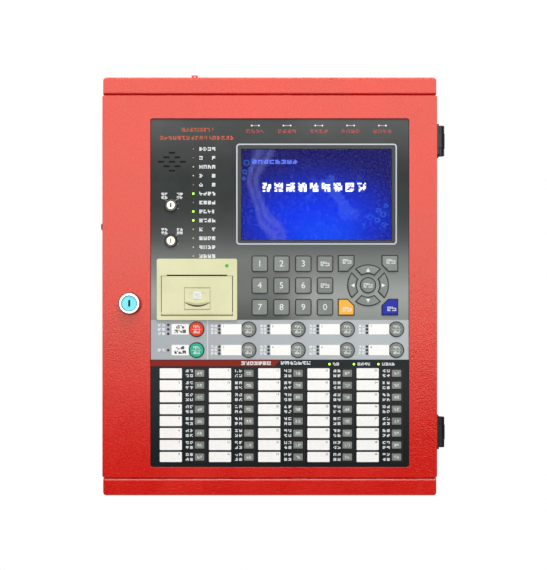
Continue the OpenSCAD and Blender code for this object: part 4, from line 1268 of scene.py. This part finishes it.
def fit_printer():
    low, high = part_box("printer_body")
    x, y, z = high.x - 12.3 * MM, low.y, high.z - 8.1 * MM
    repeated("printer_lamp", DOMED_LENSES, [(x, y, z)], "door", "led_lens", PRINTER_GREEN,
             Radius=2.0 * MM, Height=0.9 * MM)
    ring_plate("printer_lamp_ring", round_box(x / MM, z / MM, 5.6, 5.6, 2.8, 6),
               round_box(x / MM, z / MM, 4.1, 4.1, 2.05, 6), y - 0.3 * MM, y + 0.2 * MM, "door",
               "cream_plastic")
    x, _, front = face_middle("printer_latch")
    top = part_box("printer_latch")[1].z / MM
    face = front + 1.2 * MM
    badge = (face - 0.1 * MM, face + 0.6 * MM, "cover_latch", "cream_plastic", WHITE_INK)
    ring_plate("latch_badge", round_box(x, top - 8.6, 9.6, 8.4, 1.0),
               round_box(x, top - 8.6, 4.6, 3.6, 0.6), *badge)
    prisms("latch_badge_bars", [round_box(x + dx, top - 8.6, 0.9, 4.4, 0.2, 2)
                                for dx in (-0.9, 0.9)], *badge)
    # the shadow line under the curved lip
    reach, sag = 15.0, 3.6
    steps = [-reach + i * reach / 8 for i in range(17)]
    upper = [(x + t, top - 16.6 - sag * (1 - (t / reach) ** 2)) for t in steps]
    lower = [(x + t, top - 17.4 - (sag + 1.3) * (1 - (t / reach) ** 2)) for t in reversed(steps)]
    prisms("latch_lip_shadow", [upper + lower], face - 0.05 * MM, face + 0.1 * MM, "cover_latch",
           "cream_plastic", DARK_SEPIA)


# ---------------------------------------------------------------- screws and inner parts

BOARD_FACE = -15.1 * MM                     # front of the main board
KEY_BOARD_BACK = -126.4 * MM                # back of the display board on the door


def fit_screws():
    def screws(name, spots, turn, radius, height):
        repeated(name, CROSS_SCREWS, spots, "cabinet", "galvanised_steel",
                 facing=[turn] * len(spots), Radius=radius * MM, Height=height * MM)
    low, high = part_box("gland_plate")
    inset = 4.4 * MM
    spots = [(x, y, high.z) for x in (low.x + inset, (low.x + high.x) / 2, high.x - inset)
             for y in (low.y + inset, high.y - inset)]
    screws("gland_plate_screws", spots, (0, 0, 0), 2.6, 1.4)
    low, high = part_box("main_board")
    spots = [(x, BOARD_FACE, z) for x in (low.x + 8 * MM, high.x - 8 * MM)
             for z in (low.z + 8 * MM, (low.z + high.z) / 2, high.z - 8 * MM)]
    low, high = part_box("power_supply")
    spots += [(x, low.y, z) for x in (low.x + 6 * MM, high.x - 6 * MM)
              for z in (high.z - 6 * MM, low.z + 30 * MM)]
    low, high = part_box("battery_bracket")
    spots += [(s * (high.x - 6 * MM), -3.4 * MM, (low.z + high.z) / 2) for s in (-1, 1)]
    screws("inner_screws", spots, TO_FRONT, 3.0, 1.8)


def fit_board_parts():
    c = centre_of("main_board")
    for name, place, body, slot, finish, (width, height), (columns, rows), fill, part, seed in (
            ("board_chips", (c.x, BOARD_FACE - 0.9 * MM, c.z + 20 * MM), "cabinet",
             "black_plastic", "black_plastic", (0.17, 0.12), (18, 9), 0.4, (5, 3.4, 1.8), 3),
            ("board_resistors", (c.x + 3 * MM, BOARD_FACE - 0.4 * MM, c.z - 26 * MM), "cabinet",
             "satin_metal", "galvanised_steel", (0.18, 0.05), (26, 8), 0.45, (2.6, 1.4, 0.8), 12),
            ("key_board_parts", (FASCIA.x, KEY_BOARD_BACK + 0.6 * MM, -130 * MM), "door",
             "black_plastic", "black_plastic", (0.25, 0.13), (20, 9), 0.4, (4.4, 3.0, 1.4), 23),
            ("key_board_resistors", (FASCIA.x + 2 * MM, KEY_BOARD_BACK + 0.3 * MM, -126 * MM),
             "door", "galvanised_steel", "galvanised_steel", (0.26, 0.14), (30, 13), 0.3,
             (2.2, 1.2, 0.7), 29)):
        repeated(name, BOARD_PARTS, [place], body, slot, FINISHES[finish], Width=width,
                 Height=height, Columns=columns, Rows=rows, Fill=fill, Part_Width=part[0] * MM,
                 Part_Height=part[1] * MM, Part_Depth=part[2] * MM, Seed=seed)
    cans = [(c.x + (i - 4) * 17 * MM, BOARD_FACE - 6 * MM, c.z - 72 * MM) for i in range(9)]
    repeated("board_cans", CANS, cans, "cabinet", "black_plastic", facing=[TO_FRONT] * len(cans),
             Radius=4.2 * MM, Length=12 * MM)


# ---------------------------------------------------------------- stage

AMBIENT = 0.07                              # what the white room adds to every surface


def set_stage():
    floor_z, reach = -1.25, 2.3
    mesh = bpy.data.meshes.new("pale_floor")
    mesh.from_pydata([(x, y, floor_z) for x, y in ((-reach, -reach), (reach, -reach),
                                                   (reach, reach), (-reach, reach))],
                     [], [(0, 1, 2, 3)])
    floor = new_object("pale_floor", mesh)
    f = Finish("pale_floor_paint", Roughness=0.8)
    f.colour(f.mix(f.noise(f.where, 2.0), paint(250, 250, 250), paint(253, 253, 252)))
    mesh.materials.append(f.material)

    world = bpy.data.worlds.new("studio")
    bpy.context.scene.world = world
    world.use_nodes = True
    w = Wiring(world.node_tree)
    w.tree.nodes.clear()
    seen = w.add("ShaderNodeLightPath").outputs["Is Camera Ray"]
    strength = w.plus(w.times(seen, 1.0 - AMBIENT), AMBIENT)
    back = w.add("ShaderNodeBackground", {"Color": WHITE, "Strength": strength})
    w.add("ShaderNodeOutputWorld", {0: back.outputs[0]})

    view = bpy.context.scene.view_settings
    view.view_transform = "Standard"
    view.look = "None"
    view.exposure = 0.0
    view.gamma = 1.0


def soft_light(name, place, aim, size, radiance):
    """A rectangular softbox; radiance is what its face would read on the sensor."""
    data = bpy.data.lights.new(name, "AREA")
    data.shape = "RECTANGLE"
    data.size, data.size_y = size
    data.energy = radiance * math.pi * size[0] * size[1]
    light = new_object(name, data)
    light.location = place
    light.rotation_euler = (Vector(aim) - Vector(place)).to_track_quat("-Z", "Y").to_euler()


def set_lights():
    soft_light("front_softbox", (0.0, -2.1, 0.86), (0.0, -0.14, 0.86), (2.4, 2.2), 2.6)
    soft_light("overhead_strip", (0.0, -0.9, 1.5), (0.0, -0.14, 0.0), (1.4, 0.5), 8.4)
    for side, x in (("left", -1.7), ("right", 1.7)):
        soft_light("rear_%s_softbox" % side, (x, 1.5, 1.1), (0.0, 0.0, 0.0), (1.2, 1.6), 2.4)


def set_camera():
    data = bpy.data.cameras.new("panel_camera")
    data.sensor_width = 36
    data.lens = 60.8
    camera = new_object("panel_camera", data)
    camera.location = (4.5 * MM, -1.29, 1.8 * MM)
    camera.rotation_euler = TO_FRONT
    bpy.context.scene.camera = camera


set_camera()
set_stage()
set_lights()
finish_cad_parts()
print_front_labels()
print_card_numbers()
paint_key_gap_shade()
print_key_caps()
fit_switch_collars()
fit_lock_skirt()
shade_speaker_slots()
fit_lamps()
fit_screen()
fit_printer()
fit_screws()
fit_board_parts()
